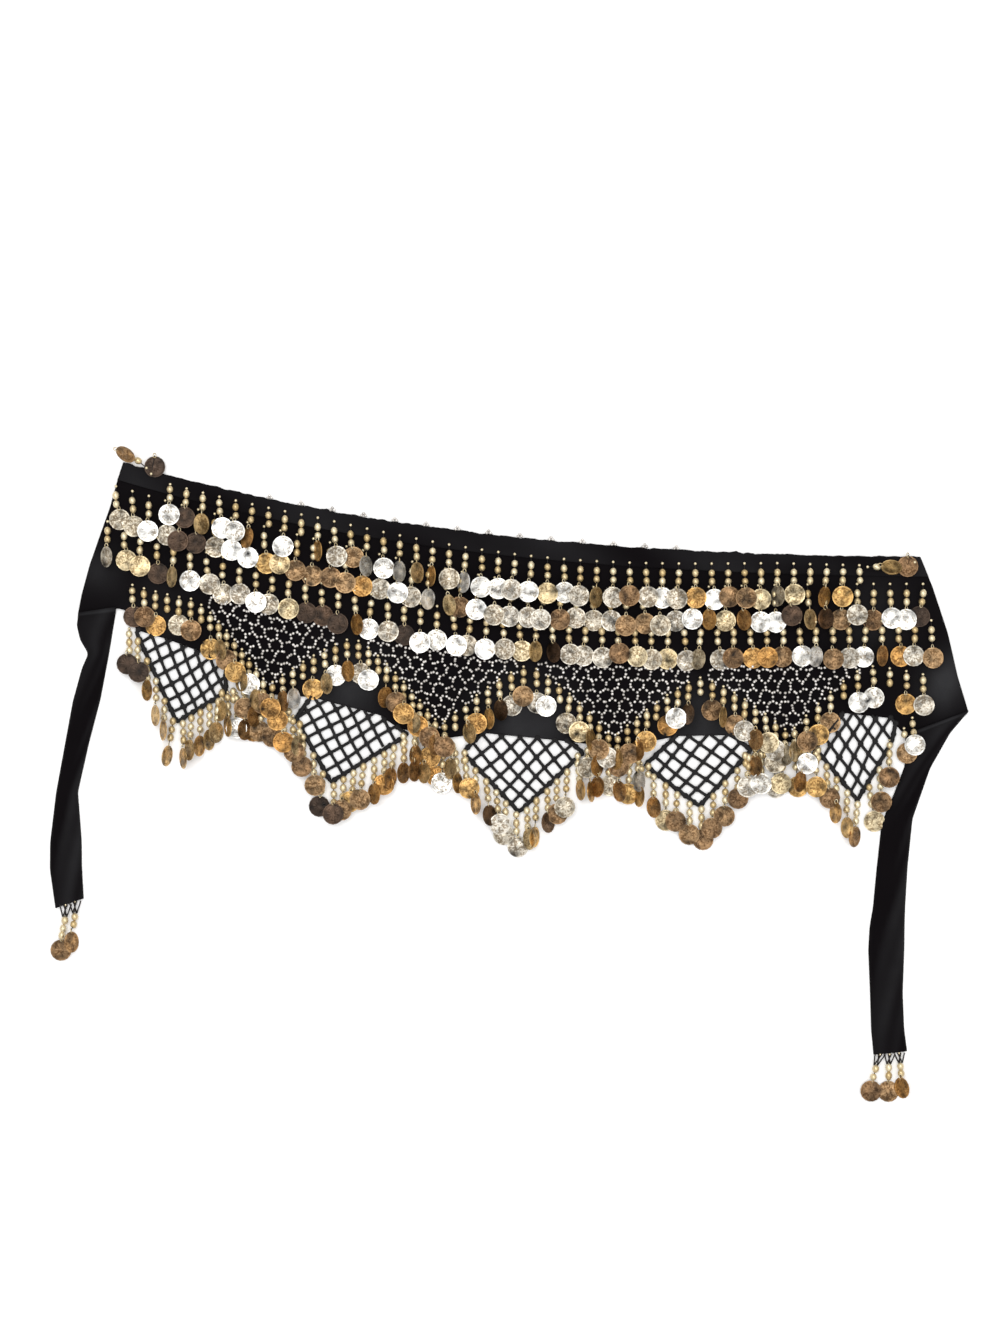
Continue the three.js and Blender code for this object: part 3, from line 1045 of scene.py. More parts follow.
@dataclass
class Tie:
    """A doubled strip of velvet through listed cross sections, with folds along it."""

    name: str
    node: str
    # Each row: left x and y, right x and y, thickness, fold share and fold height.
    sections: list[tuple[float, ...]]
    step: float = 1.6
    around: int = 22
    overlap: float = 2.5
    clearance: float = 0.5
    underside: float = 0.12
    edge_height: float = 0.7
    # Strength of a painted highlight along the seam, near the strip's start.
    seam_light: float = 0.8
    # Soft waves along it: wavelength, heading in degrees, phase and height.
    waves: list[tuple[float, float, float, float]] = field(default_factory=lambda: [
        (42, 70, 0.6, 0.16), (23, 40, 1.8, 0.14), (13, -35, 0.2, 0.08),
    ])

    def spine(self) -> tuple[np.ndarray, np.ndarray]:
        """Evens the sections out along the strip, from where it laps the panel, and smooths them.

        Returns:
            The distance of each section from the start, and the sections.
        """
        rows = np.array(self.sections, float)
        ahead = (rows[0, 0:2] + rows[0, 2:4] - rows[2, 0:2] - rows[2, 2:4]) / 2
        ahead *= self.overlap / np.hypot(*ahead)
        start = rows[0].copy()
        start[0:4] += np.tile(ahead, 2)
        rows = np.vstack([start, rows])
        middle = (rows[:, 0:2] + rows[:, 2:4]) / 2
        steps = np.linalg.norm(np.diff(middle, axis=0), axis=1)
        at = np.concatenate([[0.0], np.cumsum(steps)])
        places = np.linspace(0, at[-1], int(length_of(middle) / self.step))
        even = np.stack([np.interp(places, at, column) for column in rows.T], axis=1)
        padded = np.pad(even, ((2, 2), (0, 0)), mode="edge")
        kernel = np.array([1, 2, 3, 2, 1]) / 9
        return places, np.stack([np.convolve(column, kernel, "valid") for column in padded.T], axis=1)

    def ring(self, down: float, section: np.ndarray) -> tuple[np.ndarray, np.ndarray]:
        """Shapes one ring of the strip: its face from left to right, then its underside back.

        Args:
            down: the section's distance from the start.
            section: a row as in sections.
        Returns:
            The ring's points, and the painted sheen of each one.
        """
        lx, ly, rx, ry, thick, fold, rise = section
        share = np.linspace(0, 1, self.around // 2)
        x = lx + share * (rx - lx)
        y = ly + share * (ry - ly)
        edge = np.clip(np.minimum(share, 1 - share) / 0.10, 0, 1) ** 0.5
        crest = rise * np.exp(-(((share - fold) / 0.13) ** 2))
        second = 0.5 * rise * np.exp(-(((share - fold - 0.33) / 0.1) ** 2))
        lap = (CLOTH_TOP + self.clearance) * math.exp(-((down / 6.0) ** 4))
        relief = (crest + second + ripple(x, y, self.waves)) * edge
        z = lap + self.edge_height + (thick - self.edge_height) * edge + relief
        low = np.full(len(share), lap + self.underside)
        points = np.vstack([np.stack([x, y, z], axis=1), np.stack([x[::-1], y[::-1], low], axis=1)])
        # Painted sheen: lighter streaks and a lighter side across the strip, and a painted highlight along
        # the seam.
        sheen = 0.10 + 0.22 * np.sin(down / 37 + 3.2 * share) + 0.25 * (share - 0.5)
        sheen += 0.16 * np.sin(down / 9 + 11 * share) * share
        sheen += self.seam_light * math.exp(-(((down - 2.6) / 0.9) ** 2))
        return points, np.concatenate([np.clip(sheen, 0, 1), np.zeros(len(share))])

    def build(self, velvet: bpy.types.Material) -> bpy.types.Object:
        """Builds the strip and dresses it.

        Args:
            velvet: its finish.
        Returns:
            The tie.
        """
        rings = [self.ring(down, section) for down, section in zip(*self.spine())]
        faces = []
        for row in range(len(rings) - 1):
            for i in range(self.around):
                a, b = row * self.around + i, row * self.around + (i + 1) % self.around
                faces.append((a, a + self.around, b + self.around, b))
        last = (len(rings) - 1) * self.around
        faces.append(tuple(range(self.around)))
        faces.append(tuple(reversed(range(last, last + self.around))))
        corners, nap = (np.concatenate(part) for part in zip(*rings))
        piece = make_piece(self.name, corners, faces, velvet, nap=nap)
        return settle(piece, "tie_velvet", self.node)


TIE_LEFT = Tie("tie_left_strip", "tie_left", [
    (-358.2, 21.6, -325.8, 26.4, 2.2, 0.3, 0.2), (-359.8, 13, -328.4, 12, 2.4, 0.4, 1.2),
    (-356.8, 0, -330.4, -0.5, 2.6, 0.55, 1.6), (-349.8, -11.5, -332, -10, 3, 0.5, 1.2),
    (-355.3, -24, -334.4, -23, 2.8, 0.5, 0.6), (-363, -52, -339.5, -50, 2.6, 0.6, 0.4),
    (-369.8, -89, -349.3, -87.5, 2.6, 0.5, 0.6), (-377.2, -129.5, -358.7, -129.2, 2.8, 0.4, 0.8),
    (-382.3, -172, -355.6, -169, 2.6, 0.4, 0.6), (-382.5, -195, -355.3, -192, 2.6, 0.5, 0.4),
    (-377.7, -228.7, -353.8, -220.2, 2.4, 0.5, 0.2),
])
TIE_RIGHT = Tie("tie_right_strip", "tie_right", [
    (344.3, -81.2, 397.4, -61.5, 2, 0.5, 0.1), (344, -107, 382.5, -79, 2, 0.5, 0.1),
    (336, -128, 365.5, -109, 2.2, 0.5, 0.4), (324.3, -155.6, 350.5, -152, 2.4, 0.5, 0.8),
    (320, -195, 346.3, -193, 2.4, 0.6, 1), (317, -227, 344.3, -226, 2.6, 0.8, 1.2),
    (314.1, -244, 343.8, -243, 2.8, 0.6, 1.4), (313, -263.5, 343.6, -262, 2.8, 0.5, 1.4),
    (314.5, -300, 342.2, -299, 2.8, 0.5, 1.2), (315.4, -331, 343.4, -330, 2.6, 0.5, 0.8),
    (317.5, -353, 346, -350, 2.4, 0.5, 0.2),
])


# ---------------------------------------------------------------- nets and beadwork


@dataclass
class Net:
    """One knotted net under the panel: two families of cords, knots and a stouter edging."""

    number: int
    start: float
    end: float
    left: Point
    tip: Point
    right: Point
    cell: float = 10.8
    cord: float = 1.3
    edging: float = 1.8
    height: float = 1.85
    # How far the two families of cords lie above the net's height.
    lifts: tuple[float, float] = (0.25, -0.15)
    drift: float = 0.85
    step: float = 3.0
    tuck: float = 0.8
    knot: tuple[float, float, float] = (2.6, 2.6, 1.6)

    def outline(self) -> np.ndarray:
        """Draws the net's outline, its top tucked just under the panel's edge.

        Returns:
            The corners, from the top's left end round to the left.
        """
        xs = [self.start, *[x for x, _ in CLOTH_EDGE if self.start < x < self.end], self.end]
        top = [(x, look_up(CLOTH_EDGE, x) + self.tuck) for x in xs]
        return np.array([*top, self.right, self.tip, self.left])

    def inside(self, points: np.ndarray) -> np.ndarray:
        """Tells which points lie within the outline.

        Args:
            points: rows of x and y.
        Returns:
            True for each point inside.
        """
        ring = self.outline()
        following = np.roll(ring, -1, axis=0)
        hits = np.zeros(len(points), int)
        for (x0, y0), (x1, y1) in zip(ring, following):
            crosses = (y0 > points[:, 1]) != (y1 > points[:, 1])
            reach = (x1 - x0) * (points[:, 1] - y0) / (y1 - y0 + 1e-12) + x0
            hits += crosses & (points[:, 0] < reach)
        return hits % 2 == 1

    def build(self, cord: bpy.types.Material, knot: Template) -> bpy.types.Object:
        """Builds the net and dresses it.

        Args:
            cord: its finish.
            knot: the template of a knot.
        Returns:
            The net.
        """
        rng = np.random.default_rng(SEED + 10 + self.number)
        joined = JoinedMesh()
        tip, left, right = (np.array(point, float) for point in (self.tip, self.left, self.right))
        wander = rng.uniform(0, 6.28, 4)
        spans = {"u": left - tip, "v": right - tip}
        blob = np.diag(self.knot)
        counts = {key: max(3, round(float(np.hypot(*span)) / self.cell)) for key, span in spans.items()}

        def place(u: float, v: float) -> np.ndarray:
            """Finds a point of the net, with the slack of hand work.

            Args:
                u: share of the way along the left side.
                v: share of the way along the right side.
            Returns:
                The point's x and y.
            """
            point = tip + u * spans["u"] + v * spans["v"]
            drift = (math.sin(point[1] / 9 + wander[0]) + math.sin(point[0] / 13 + wander[1]),
                     math.sin(point[0] / 10 + wander[2]) + math.sin(point[1] / 15 + wander[3]))
            return point + self.drift * np.array(drift)

        fine = np.linspace(0, 2.2, 320)
        for along, across, lift in (("u", "v", self.lifts[0]), ("v", "u", self.lifts[1])):
            for i in range(1, 2 * counts[across] + 1):
                share = i / counts[across]
                line = np.array([place(f, share) if along == "u" else place(share, f) for f in fine])
                keep = self.inside(line)
                changes = np.nonzero(np.diff(keep.astype(int)))[0] + 1
                for run in np.split(np.arange(len(line)), changes):
                    if keep[run[0]] and len(run) > 5:
                        path = resample(line[run], max(3, int(length_of(line[run]) / self.step)))
                        height = np.full(len(path), self.height + lift)
                        joined.tube(np.column_stack([path, height]), self.cord, 6)
        for i in range(1, 2 * counts["u"] + 1):
            for j in range(1, 2 * counts["v"] + 1):
                point = place(i / counts["u"], j / counts["v"])
                if self.inside(point[None])[0]:
                    spin = turn(float(rng.uniform(0, 360)), 0, 0)
                    stretch = np.diag([1.0, float(rng.uniform(0.75, 1.2)), 1.0])
                    joined.stamp(knot, (*point, self.height), spin @ stretch @ blob)
        ring = self.outline()
        edge = np.array([ring[-4], self.right, self.tip, self.left, ring[0]])
        path = resample(edge, int(length_of(edge) / self.step))
        sway = 0.35 * np.sin(np.arange(len(path)) * 1.9 + self.number)
        swayed = np.column_stack([path[:, 0], path[:, 1] + sway, np.full(len(path), self.height)])
        joined.tube(swayed, self.edging, 6)
        for point in path[::3]:
            joined.stamp(knot, (*point, self.height), turn(float(rng.uniform(0, 360)), 0, 0) @ blob)
        net = joined.build(f"net_{self.number}_cords", cord, True)
        return settle(net, "net_cord", f"net_{self.number}")


NETS = [
    Net(1, -307, -233, (-308.6, 6), (-274.6, -69.7), (-232.9, -44.2)),
    Net(2, -160, -87, (-173.4, -66.3), (-143.7, -120.7), (-79, -80.8)),
    Net(3, -14, 57, (-31.5, -95.2), (16.2, -146.2), (70.6, -95.2)),
    Net(4, 150.5, 196, (123.3, -106.3), (169.2, -141.1), (213.4, -93.5)),
    Net(5, 292, 336, (267.8, -91.8), (303.5, -136), (333, -86)),
]


@dataclass
class Beadwork:
    """Lace of seed beads: a honeycomb of rings that share beads with their neighbours."""

    number: int
    start: float
    end: float
    pitch: float = 10.6
    bead: float = SEED_RADIUS
    slack: float = 0.55
    rows: int = 8

    def honeycomb(self) -> list[np.ndarray]:
        """Lays out flat rings of beads that share their corners and sides.

        Returns:
            Each bead's place along the scarf and down from the first row.
        """
        placed: list[np.ndarray] = []
        side = self.pitch / math.sqrt(3)
        turns = [math.radians(60 * k) for k in range(6)]
        corners = [side * np.array([math.sin(angle), math.cos(angle)]) for angle in turns]
        sides = list(zip(corners, corners[1:] + corners[:1]))
        ring = [corner for corner, _ in sides] + [(corner + other) / 2 for corner, other in sides]
        for row in range(self.rows):
            first = self.start + 0.5 * self.pitch * (row % 2)
            for x in np.arange(first, self.end, self.pitch):
                for reach in ring:
                    spot = np.array([x, 1.5 * side * (row + 0.5)]) + reach
                    if all(np.hypot(*(spot - other)) > self.bead for other in placed):
                        placed.append(spot)
        return placed

    def build(self, finish: bpy.types.Material, seed: Template) -> bpy.types.Object:
        """Builds the beadwork and dresses it.

        Args:
            finish: the beads' finish.
            seed: the template of a seed bead.
        Returns:
            The beadwork.
        """
        rng = np.random.default_rng(SEED + 20 + self.number)
        joined = JoinedMesh()
        depth = ROW_SHAPES[-1][2]
        lace = []
        for across, down in self.honeycomb():
            x = across + 1.3 * math.sin(down / 11 + self.number) + float(rng.normal(0, self.slack))
            top = waist_y(x) - depth - sag_at(x, ROW_SHAPES[-1]) - COIN_RADIUS - 1
            y = top - down + 1.1 * math.sin(across / 14)
            y += float(rng.normal(0, self.slack))
            if y - border_y(x) > 1.0:
                lace.append((x, y))
        for spot in lace:
            tone = float(rng.uniform(0.1, 1.0))
            spin = turn(float(rng.uniform(0, 180)), 0, 0)
            joined.stamp(seed, (*spot, CLOTH_TOP + self.bead), spin, tone)
        piece = joined.build(f"seed_lace_{self.number}", finish, True)
        return settle(piece, "seed_beads", f"beadwork_{self.number}")


@dataclass
class Picots:
    """Tiny loops of three seed beads along the waist edge."""

    first: float = -195.5
    last: float = 149.6
    count: int = 14
    height: float = 2.2

    def build(self, finish: bpy.types.Material, seed: Template) -> bpy.types.Object:
        """Builds the picots and dresses them.

        Args:
            finish: the beads' finish.
            seed: the template of a seed bead.
        Returns:
            The picots.
        """
        rng = np.random.default_rng(SEED + 30)
        joined = JoinedMesh()
        for x in np.linspace(self.first, self.last, self.count):
            for dx, dy in ((-1.5, 0.9), (0.0, 2.8), (1.5, 0.9)):
                tone = float(rng.uniform(0.4, 1.0))
                spin = turn(float(rng.uniform(0, 180)), 0, 0)
                joined.stamp(seed, (x + dx, waist_y(x) + dy, self.height), spin, tone)
        return settle(joined.build("waist_picots", finish, True), "seed_beads")


# ---------------------------------------------------------------- fringes


@dataclass
class Shapes:
    """The small parts that repeat, each modelled once."""

    coin: Template = field(default_factory=lambda: CoinShape().model())
    bead: Template = field(
        default_factory=lambda: model_bead(BEAD_RADIUS, 8, 6, BEAD_LENGTH / (2 * BEAD_RADIUS))
    )
    knot: Template = field(default_factory=lambda: model_bead(1.0, 7, 5, 1.0))
    seed: Template = field(default_factory=lambda: model_bead(SEED_RADIUS, 6, 4))
    ring: Template = field(default_factory=lambda: RingShape().model())


@dataclass
class Finishes:
    """Every material of the scarf."""

    velvet: bpy.types.Material
    tie_velvet: bpy.types.Material
    cord: bpy.types.Material
    thread: bpy.types.Material
    coins: bpy.types.Material
    beads: bpy.types.Material
    seeds: bpy.types.Material


@dataclass
class Stalk:
    """One thread with its beads and, as a rule, a coin."""

    anchor: tuple[float, float, float]
    beads: list[tuple[float, float, float]]
    coin: tuple[float, float]
    letter: str
    swing: float


@dataclass
class Resting:
    """Heights at which coins come to rest on the beads and coins already lying there."""

    layer: float = 1.35
    clearance: float = 0.6
    beads: list[tuple[float, float, float]] = field(default_factory=list)
    coins: list[tuple[float, float, float]] = field(default_factory=list)

    def height(self, x: float, y: float, low: float) -> float:
        """Finds the height of a flat coin's middle and remembers it.

        Args:
            x: the coin's middle.
            y: the coin's middle.
            low: the lowest its middle can be.
        Returns:
            The height of its middle.
        """
        z = low
        for bead_x, bead_y, top in self.beads:
            if math.hypot(x - bead_x, y - bead_y) < COIN_RADIUS + 0.7 * BEAD_RADIUS:
                z = max(z, top + self.clearance)
        near = sorted(c[2] for c in self.coins if math.hypot(x - c[0], y - c[1]) < 2 * COIN_RADIUS - 0.4)
        for other in near:
            if abs(z - other) < self.layer:
                z = other + self.layer
        self.coins.append((x, y, z))
        return z


@dataclass
class Fringe:
    """A run of stalks, gathered into three pieces: its coins, its beads and its threads.

    Where spread isn't zero, each stalk also hangs on two slanting cords, stitched that far to
    either side, which cross their neighbours' like a small net.
    """

    name: str
    node: str
    ground: float
    seed: int
    spread: float = 0.0
    stalks: list[Stalk] = field(default_factory=list)
    # How much its stalks vary: swing in degrees, slip of a turned and of a flat coin, and drop.
    sway: float = 3.0
    slips: tuple[float, float] = (0.3, 0.9)
    drop: float = 1.4
    # How far a flat coin tips either way, and a turned one leans, in degrees.
    tip: float = 2.6
    lean: float = 4.0
    # A turned coin's tone is lighter by this much, a painted glint.
    glint: float = 0.12
    # Heights above the ground: a stitch, a coin's middle and a ring.
    stitch: float = 0.6
    coin_rest: float = 0.8
    ring_rest: float = 2.2
    # Radii of its threads and of its slanting cords.
    thread: float = 0.4
    cord: float = 0.6

    def hang(self, x: float, y: float, offsets: list[float], reach: float, letter: str,
             anchor_up: float) -> None:
        """Adds a stalk that hangs straight down, give or take a little swing.

        Args:
            x: where it hangs from.
            y: where it hangs from.
            offsets: distances of its beads below that point.
            reach: distance of its coin's middle below that point.
            letter: its coin's finish and lay, or - for none.
            anchor_up: how far above the point its thread is stitched.
        """
        rng = np.random.default_rng(self.seed + 97 * len(self.stalks))
        swing = float(rng.normal(0, self.sway))
        slope = math.tan(math.radians(swing))
        slip = float(rng.normal(0, self.slips[Lay.of(letter) is Lay.FLAT]))
        height = self.ground + BEAD_RADIUS + 0.1
        beads = [(x + down * slope, y - down, height) for down in offsets]
        coin = (x + reach * slope + slip, y - reach + float(rng.normal(0, self.drop)))
        anchor = (x, y + anchor_up, self.ground + self.stitch)
        self.stalks.append(Stalk(anchor, beads, coin, letter, swing))

    def lay_beads(self, resting: Resting) -> None:
        """Tells the resting heights about every bead of the run."""
        for stalk in self.stalks:
            resting.beads.extend((x, y, z + BEAD_RADIUS) for x, y, z in stalk.beads)

    def build(self, shapes: Shapes, finishes: Finishes, resting: Resting) -> list[bpy.types.Object]:
        """Builds the run and dresses it.

        Args:
            shapes: the small parts.
            finishes: the materials.
            resting: heights of what already lies there.
        Returns:
            The coins, the beads and the threads.
        """
        rng = np.random.default_rng(self.seed)
        coins, beads, threads = JoinedMesh(), JoinedMesh(), JoinedMesh()
        for index in rng.permutation(len(self.stalks)):
            stalk = self.stalks[index]
            for bead in stalk.beads:
                stretch = np.diag([1.0, float(rng.uniform(0.9, 1.12)), 1.0])
                beads.stamp(shapes.bead, bead, turn(stalk.swing, 0, 0) @ stretch, float(rng.uniform(0, 1)))
            path = [stalk.anchor, *stalk.beads]
            if stalk.letter != "-":
                path.append(self.hang_coin(stalk, shapes, coins, beads, resting, rng))
            if len(path) > 1:
                threads.tube(np.array(path), self.thread)
            for side in (-self.spread, self.spread) if self.spread else ():
                stitch = np.array(stalk.anchor) + (side, 0.5, 0.6)
                bead = np.array(stalk.beads[0]) + (side / 3, 3.0, 0)
                for start in (stitch, stitch - (side * 1.3, 0, 0)):
                    threads.tube(np.array([start, bead]), self.cord)
            beads.stamp(shapes.seed, (*stalk.anchor[:2], self.ground + 1.3), None, 0.8)
        return [
            settle(coins.build(f"{self.name}_coins", finishes.coins, False), "coins", self.node),
            settle(beads.build(f"{self.name}_beads", finishes.beads, True), "coins"),
            settle(threads.build(f"{self.name}_threads", finishes.thread, True), "net_cord"),
        ]

    def hang_coin(self, stalk: Stalk, shapes: Shapes, coins: JoinedMesh, beads: JoinedMesh,
                  resting: Resting, rng: np.random.Generator) -> tuple[float, float, float]:
        """Places a stalk's coin and its ring.

        Args:
            stalk: the stalk.
            shapes: the small parts.
            coins: takes the coin.
            beads: takes the ring.
            resting: heights of what already lies there.
            rng: the run's random draws.
        Returns:
            The place of the coin's hole, where the thread ends.
        """
        lay = Lay.of(stalk.letter)
        x, y = stalk.coin
        flat = lay is Lay.FLAT
        if flat:
            roll, pitch = (float(rng.uniform(-self.tip, self.tip)) for _ in range(2))
        else:
            roll = (lay.value + float(rng.uniform(-5, 3))) * (1 if rng.random() < 0.5 else -1)
            pitch = float(rng.uniform(-self.lean, self.lean))
        upright = math.cos(math.radians(pitch)) * math.cos(math.radians(roll))
        low = self.ground + self.coin_rest + COIN_RADIUS * math.sqrt(1 - upright * upright)
        z = resting.height(x, y, low) if flat else low
        rotation = turn(stalk.swing, pitch, roll)
        tone = PlatingAndHighlight.tone(stalk.letter) + float(rng.uniform(-0.05, 0.04))
        tone += 0.0 if flat else self.glint
        coins.stamp(shapes.coin, (x, y, z), rotation, min(1.0, max(0.0, tone)))
        hole = rotation @ np.array([0, COIN_RADIUS + 0.5, 0]) + np.array([x, y, z])
        hole[2] = max(hole[2], self.ground + self.ring_rest)
        beads.stamp(shapes.ring, tuple(hole), rotation @ turn(0, 0, 35), float(rng.uniform(0.2, 0.9)))
        return tuple(hole)


ROW_LETTERS = [
    "wdGwwB-w-TsbSwWGTsWwwswcwsGsbswsgwbbcCc-Bg-",
    "sswsddswwgcbbbbgswsWGbwssssbsssbbsswBcBwwdGDbsbwwd",
    "CccdGwssswscdddBwsdwwwswscGDsssbcscsCsbggbwWbswBgsb",
]
# First and last x, depth, sag, and the sag's middle and spread.
ROW_SHAPES = [(-280, 305, 33, 11.5, 40, 200), (-326, 359, 52, 15, 40, 170), (-333, 366, 81.5, 15.5, 0, 250)]
EDGE_LETTERS = [
    "dbg-sb-gGbgGwGb", "gBW-gGwBsw-BbgGgbB", "b-GgTDsbsw-scTbs", "TbBg-gwD-bTbsBcsC", "Gbgb-ww-gs",
]
HEM_LETTERS = ["ddTTTTTGTTGTwBgb", "bgbbbddbgbBgBBBGg", "wTgTDsssGTDbsTTBs", "BgTBcbbbbbbswsc", "gBgbTTBcbb"]
HEM_ENDS = [-319, -197, -51, 96, 246, 335]
# Short stalks that crowd under the panel's points: first and last x, and their letters.
UNDER_POINTS = [(-236, -170, "G-bB-g-G"), (-82, -30, "-Bg-G-"), (66, 126, "-sB-b-S-"), (208, 270, "-B-sG-w-")]


def sag_at(x: float, row: tuple[float, ...]) -> float:
    """Returns how far a row of coins sags at x, below its depth."""
    _, _, _, sag, middle, spread = row
    return sag * math.exp(-(((x - middle) / spread) ** 2))

def make_rows() -> list[Fringe]:
    """Lays out the three rows of coins across the panel.

    Returns:
        The rows, from the waist down.
    """
    rows = []
    for number, (letters, shape) in enumerate(zip(ROW_LETTERS, ROW_SHAPES), 1):
        first, last, depth = shape[:3]
        run = Fringe(f"row_{number}", f"coin_row_{number}", CLOTH_TOP, SEED + 100 * number)
        for x, letter in zip(np.linspace(first, last, len(letters)), letters):
            down = depth + sag_at(x, shape)
            stitch = min(8.0, down - ROW_REACH - 8)
            run.hang(float(x), waist_y(x) - down + ROW_REACH, PAIR, ROW_REACH, letter, stitch)
        rows.append(run)
    return rows


def make_edges() -> list[Fringe]:
    """Lays out the fringe along the zigzag border, one run for each arch.

    Returns:
        The runs, from left to right.
    """
    runs = []
    for number, letters in enumerate(EDGE_LETTERS):
        start, end = BORDER[2 * number][0], BORDER[2 * number + 2][0]
        line = np.array([(x, border_y(x)) for x in np.linspace(start + 4, end - 4, 80)])
        run = Fringe(f"edge_{number + 1}", f"edge_fringe_{number + 1}", CLOTH_TOP, SEED + 500 + 100 * number)
        for (x, y), letter in zip(resample(line, len(letters)), letters):
            room = y - (look_up(HEM, x) + HEM_CLEARANCE)
            reach = max(SHORTEST_REACH, min(EDGE_REACH, room))
            run.hang(float(x), float(y) - 1, PAIR, reach, letter, 5.0)
        runs.append(run)
    return runs


def make_hems() -> list[Fringe]:
    """Lays out the fringe under the nets and along the panel's points.

    Returns:
        The runs, from left to right.
    """
    runs = []
    for number, letters in enumerate(HEM_LETTERS):
        start, end = HEM_ENDS[number] + 4, HEM_ENDS[number + 1] - 4
        run = Fringe(f"hem_{number + 1}", f"hem_fringe_{number + 1}", 0.0, SEED + 1200 + 100 * number)
        rng = np.random.default_rng(SEED + 40 + number)
        for x, letter in zip(np.linspace(start, end, len(letters)), letters):
            reach = HEM_REACH + float(rng.uniform(-2.5, 2.5))
            run.hang(float(x), look_up(HEM, x), HEM_BEADS, reach, letter, 0.0)
        for first, last, crowd in UNDER_POINTS:
            for x, letter in zip(np.linspace(first, last, len(crowd)), crowd):
                if start < x < end:
                    reach = 16.5 + float(rng.uniform(-2, 4))
                    run.hang(float(x), look_up(HEM, x) + 3, CROWD_BEADS, reach, letter, 0.0)
        runs.append(run)
    return runs


def make_ends() -> list[Fringe]:
    """Lays out the small groups at the corners and on the ties.

    Returns:
        The groups.
    """
    top = 2.6
    left = Fringe("corner_left", "corner_coins_left", top, SEED + 2000)
    left.stalks = [
        Stalk((-300, 146, top + 0.6), [(-307, 152, top + 3.1)], (-317, 157), "B", 62),
        Stalk((-296, 141, top + 0.6), [], (-293, 147), "d", 0),
    ]
    right = Fringe("corner_right", "corner_coins_right", top, SEED + 2100)
    right.stalks = [
        Stalk((312, 62, top + 0.6), [(319.6, 62, top + 3.1)], (331.5, 61.5), "G", 78),
        Stalk((352, 66, top + 0.6), [], (346, 62.5), "b", 0),
    ]
    end = Fringe("end_right", "end_fringe_right", CLOTH_TOP, SEED + 2200)
    end.stalks = [
        Stalk((350, -66, 3), [(350, -71, 5.1), (351, -78.5, 5.1)], (351.5, -89), "w", 4),
        Stalk((343, -75, 3), [(343, -80, 5.1)], (345.5, -96), "b", -4),
    ]
    tassel_left = Fringe("tassel_left", "tassel_left", 0.0, SEED + 2300, spread=5.0)
    tassel_left.stalks = [
        Stalk((-369, -225, 1.5), [(-369.5, -238, 3.1), (-371, -245, 3.1), (-372, -251, 3.1)],
              (-373, -263.5), "b", -5),
        Stalk((-361, -222, 1.5), [(-361, -235, 3.1), (-362, -241.5, 3.1)], (-363, -256), "B", 3),
    ]
    tassel_right = Fringe("tassel_right", "tassel_right", 0.0, SEED + 2400, spread=4.5)
    tassel_right.stalks = [
        Stalk((323, -352, 1.5), [(319, -364, 3.1), (317, -371, 3.1)], (315, -383), "b", -12),
        Stalk((331, -352, 1.5), [(330, -363, 3.1), (330, -370, 3.1)], (330, -383.5), "b", 0),
        Stalk((339, -351, 1.5), [(340, -362, 3.1), (340.5, -368, 3.1)], (340.5, -379.5), "B", 6),
    ]
    return [left, right, end, tassel_left, tassel_right]


# ---------------------------------------------------------------- studio


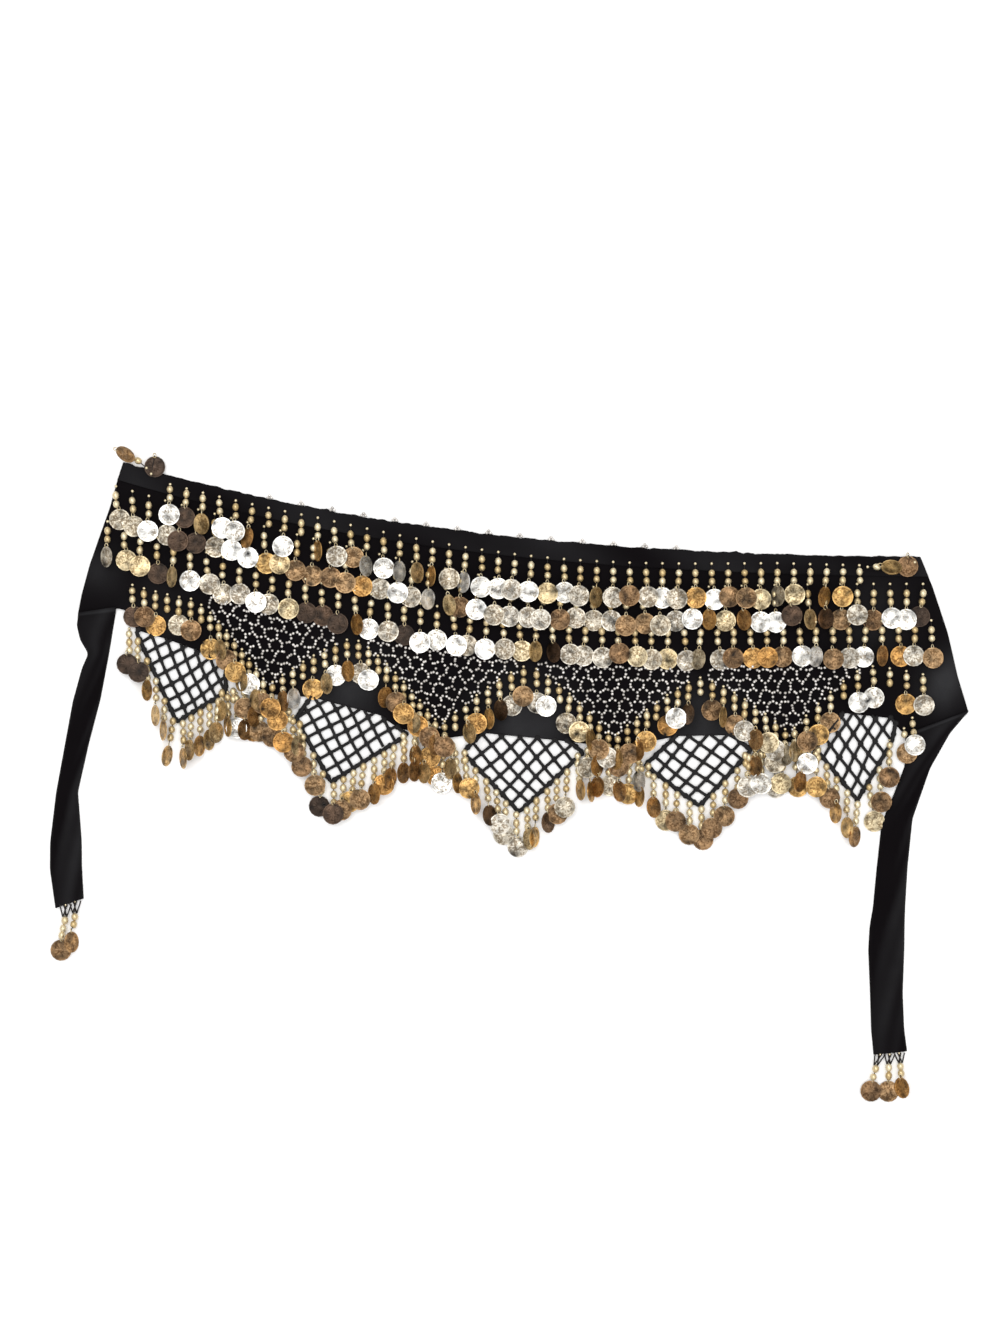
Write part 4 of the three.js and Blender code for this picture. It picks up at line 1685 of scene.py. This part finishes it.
@dataclass
class Studio:
    """Camera straight above, a plain pale floor and soft light."""

    middle_y: float = -22.5
    frame_width: float = 850.0
    height: float = 2.5
    floor_size: float = 5.0
    floor_tone: float = 0.97
    key_energy: float = 23.5
    zenith: float = 1.22
    horizon: float = 0.52

    def build(self) -> None:
        """Builds the camera, the floor, the lights and the world."""
        scene = bpy.context.scene
        camera = bpy.data.objects.new("camera", bpy.data.cameras.new("camera"))
        camera.location = (0, self.middle_y * MM, self.height)
        camera.data.sensor_fit = "HORIZONTAL"
        camera.data.sensor_width = 36.0
        camera.data.lens = 36.0 * self.height / (self.frame_width * MM)
        scene.collection.objects.link(camera)
        scene.camera = camera
        scene.view_settings.view_transform = "Standard"
        bpy.ops.object.select_all(action="DESELECT")
        bpy.ops.mesh.primitive_plane_add(size=self.floor_size, location=(0, 0, -0.0005))
        floor = bpy.context.object
        floor.name = "floor"
        pale = bpy.data.materials.new("floor")
        pale.use_nodes = True
        shader = pale.node_tree.nodes["Principled BSDF"]
        shader.inputs["Base Color"].default_value = (self.floor_tone,) * 3 + (1,)
        shader.inputs["Roughness"].default_value = 0.9
        shader.inputs["Specular IOR Level"].default_value = 0.1
        floor.data.materials.append(pale)
        for name, place, size, energy in (
            ("key", (-0.5, 0.7, 2.6), 1.6, self.key_energy),
            ("fill", (0.9, -0.6, 2.4), 1.8, 0.45 * self.key_energy),
        ):
            lamp = bpy.data.lights.new(name, "AREA")
            lamp.energy = energy
            lamp.size = size
            light = bpy.data.objects.new(name, lamp)
            light.location = place
            aim = math.atan2(math.hypot(place[0], place[1]), place[2])
            light.rotation_euler = (aim, 0, math.atan2(place[1], place[0]) + math.pi / 2)
            light.visible_camera = False
            scene.collection.objects.link(light)
        world = bpy.data.worlds.new("studio")
        world.use_nodes = True
        sketch = Sketch(world.node_tree)
        up = sketch.node("ShaderNodeSeparateXYZ", {0: sketch.node("ShaderNodeTexCoord").outputs["Generated"]})
        heights = {"Value": up.outputs[2], "To Min": self.horizon, "To Max": self.zenith}
        glow = sketch.node("ShaderNodeMapRange", heights)
        backdrop = world.node_tree.nodes["Background"]
        backdrop.inputs[0].default_value = (1.0, 0.99, 0.98, 1)
        world.node_tree.links.new(glow.outputs[0], backdrop.inputs[1])
        scene.world = world


def make_finishes() -> Finishes:
    """Builds every material.

    Returns:
        The materials.
    """
    groups = Groups()
    return Finishes(
        velvet=VelvetFinish("velvet").build(groups),
        tie_velvet=VelvetFinish("tie_velvet", sheen=0.03).build(groups),
        cord=CordFinish("net_cord").build(groups),
        thread=CordFinish("thread", colour=(0.012, 0.010, 0.009)).build(groups),
        coins=CoinFinish().build(groups),
        beads=BeadFinish("gold_beads", (0.80, 0.70, 0.48), (0.52, 0.38, 0.18)).build(groups),
        seeds=BeadFinish("seed_beads", (0.80, 0.77, 0.74), (0.34, 0.32, 0.30)).build(groups),
    )


def main() -> None:
    """Builds the scarf from its cloth outwards, then measures the panel's outline."""
    logging.basicConfig(level=logging.INFO, format="%(name)s: %(message)s")
    Studio().build()
    finishes = make_finishes()
    shapes = Shapes()
    panel_plan = Panel()
    panel = panel_plan.build(finishes.velvet)
    band = Waistband().build(finishes.velvet)
    ties = [tie.build(finishes.tie_velvet) for tie in (TIE_LEFT, TIE_RIGHT)]
    nets = [net.build(finishes.cord, shapes.knot) for net in NETS]
    spans = [(-243, -137), (-108, 12), (38, 158), (184, 301)]
    lace = [Beadwork(i + 1, *span).build(finishes.seeds, shapes.seed) for i, span in enumerate(spans)]
    picots = Picots().build(finishes.seeds, shapes.seed)
    resting = Resting()
    rows, edges, hems, ends = make_rows(), make_edges(), make_hems(), make_ends()
    runs = [*hems, *edges, *reversed(rows), *ends]
    for run in runs:
        run.lay_beads(resting)
    made = {run.name: run.build(shapes, finishes, resting) for run in runs}
    panel_plan.cut_area()


if __name__ == "__main__":
    main()
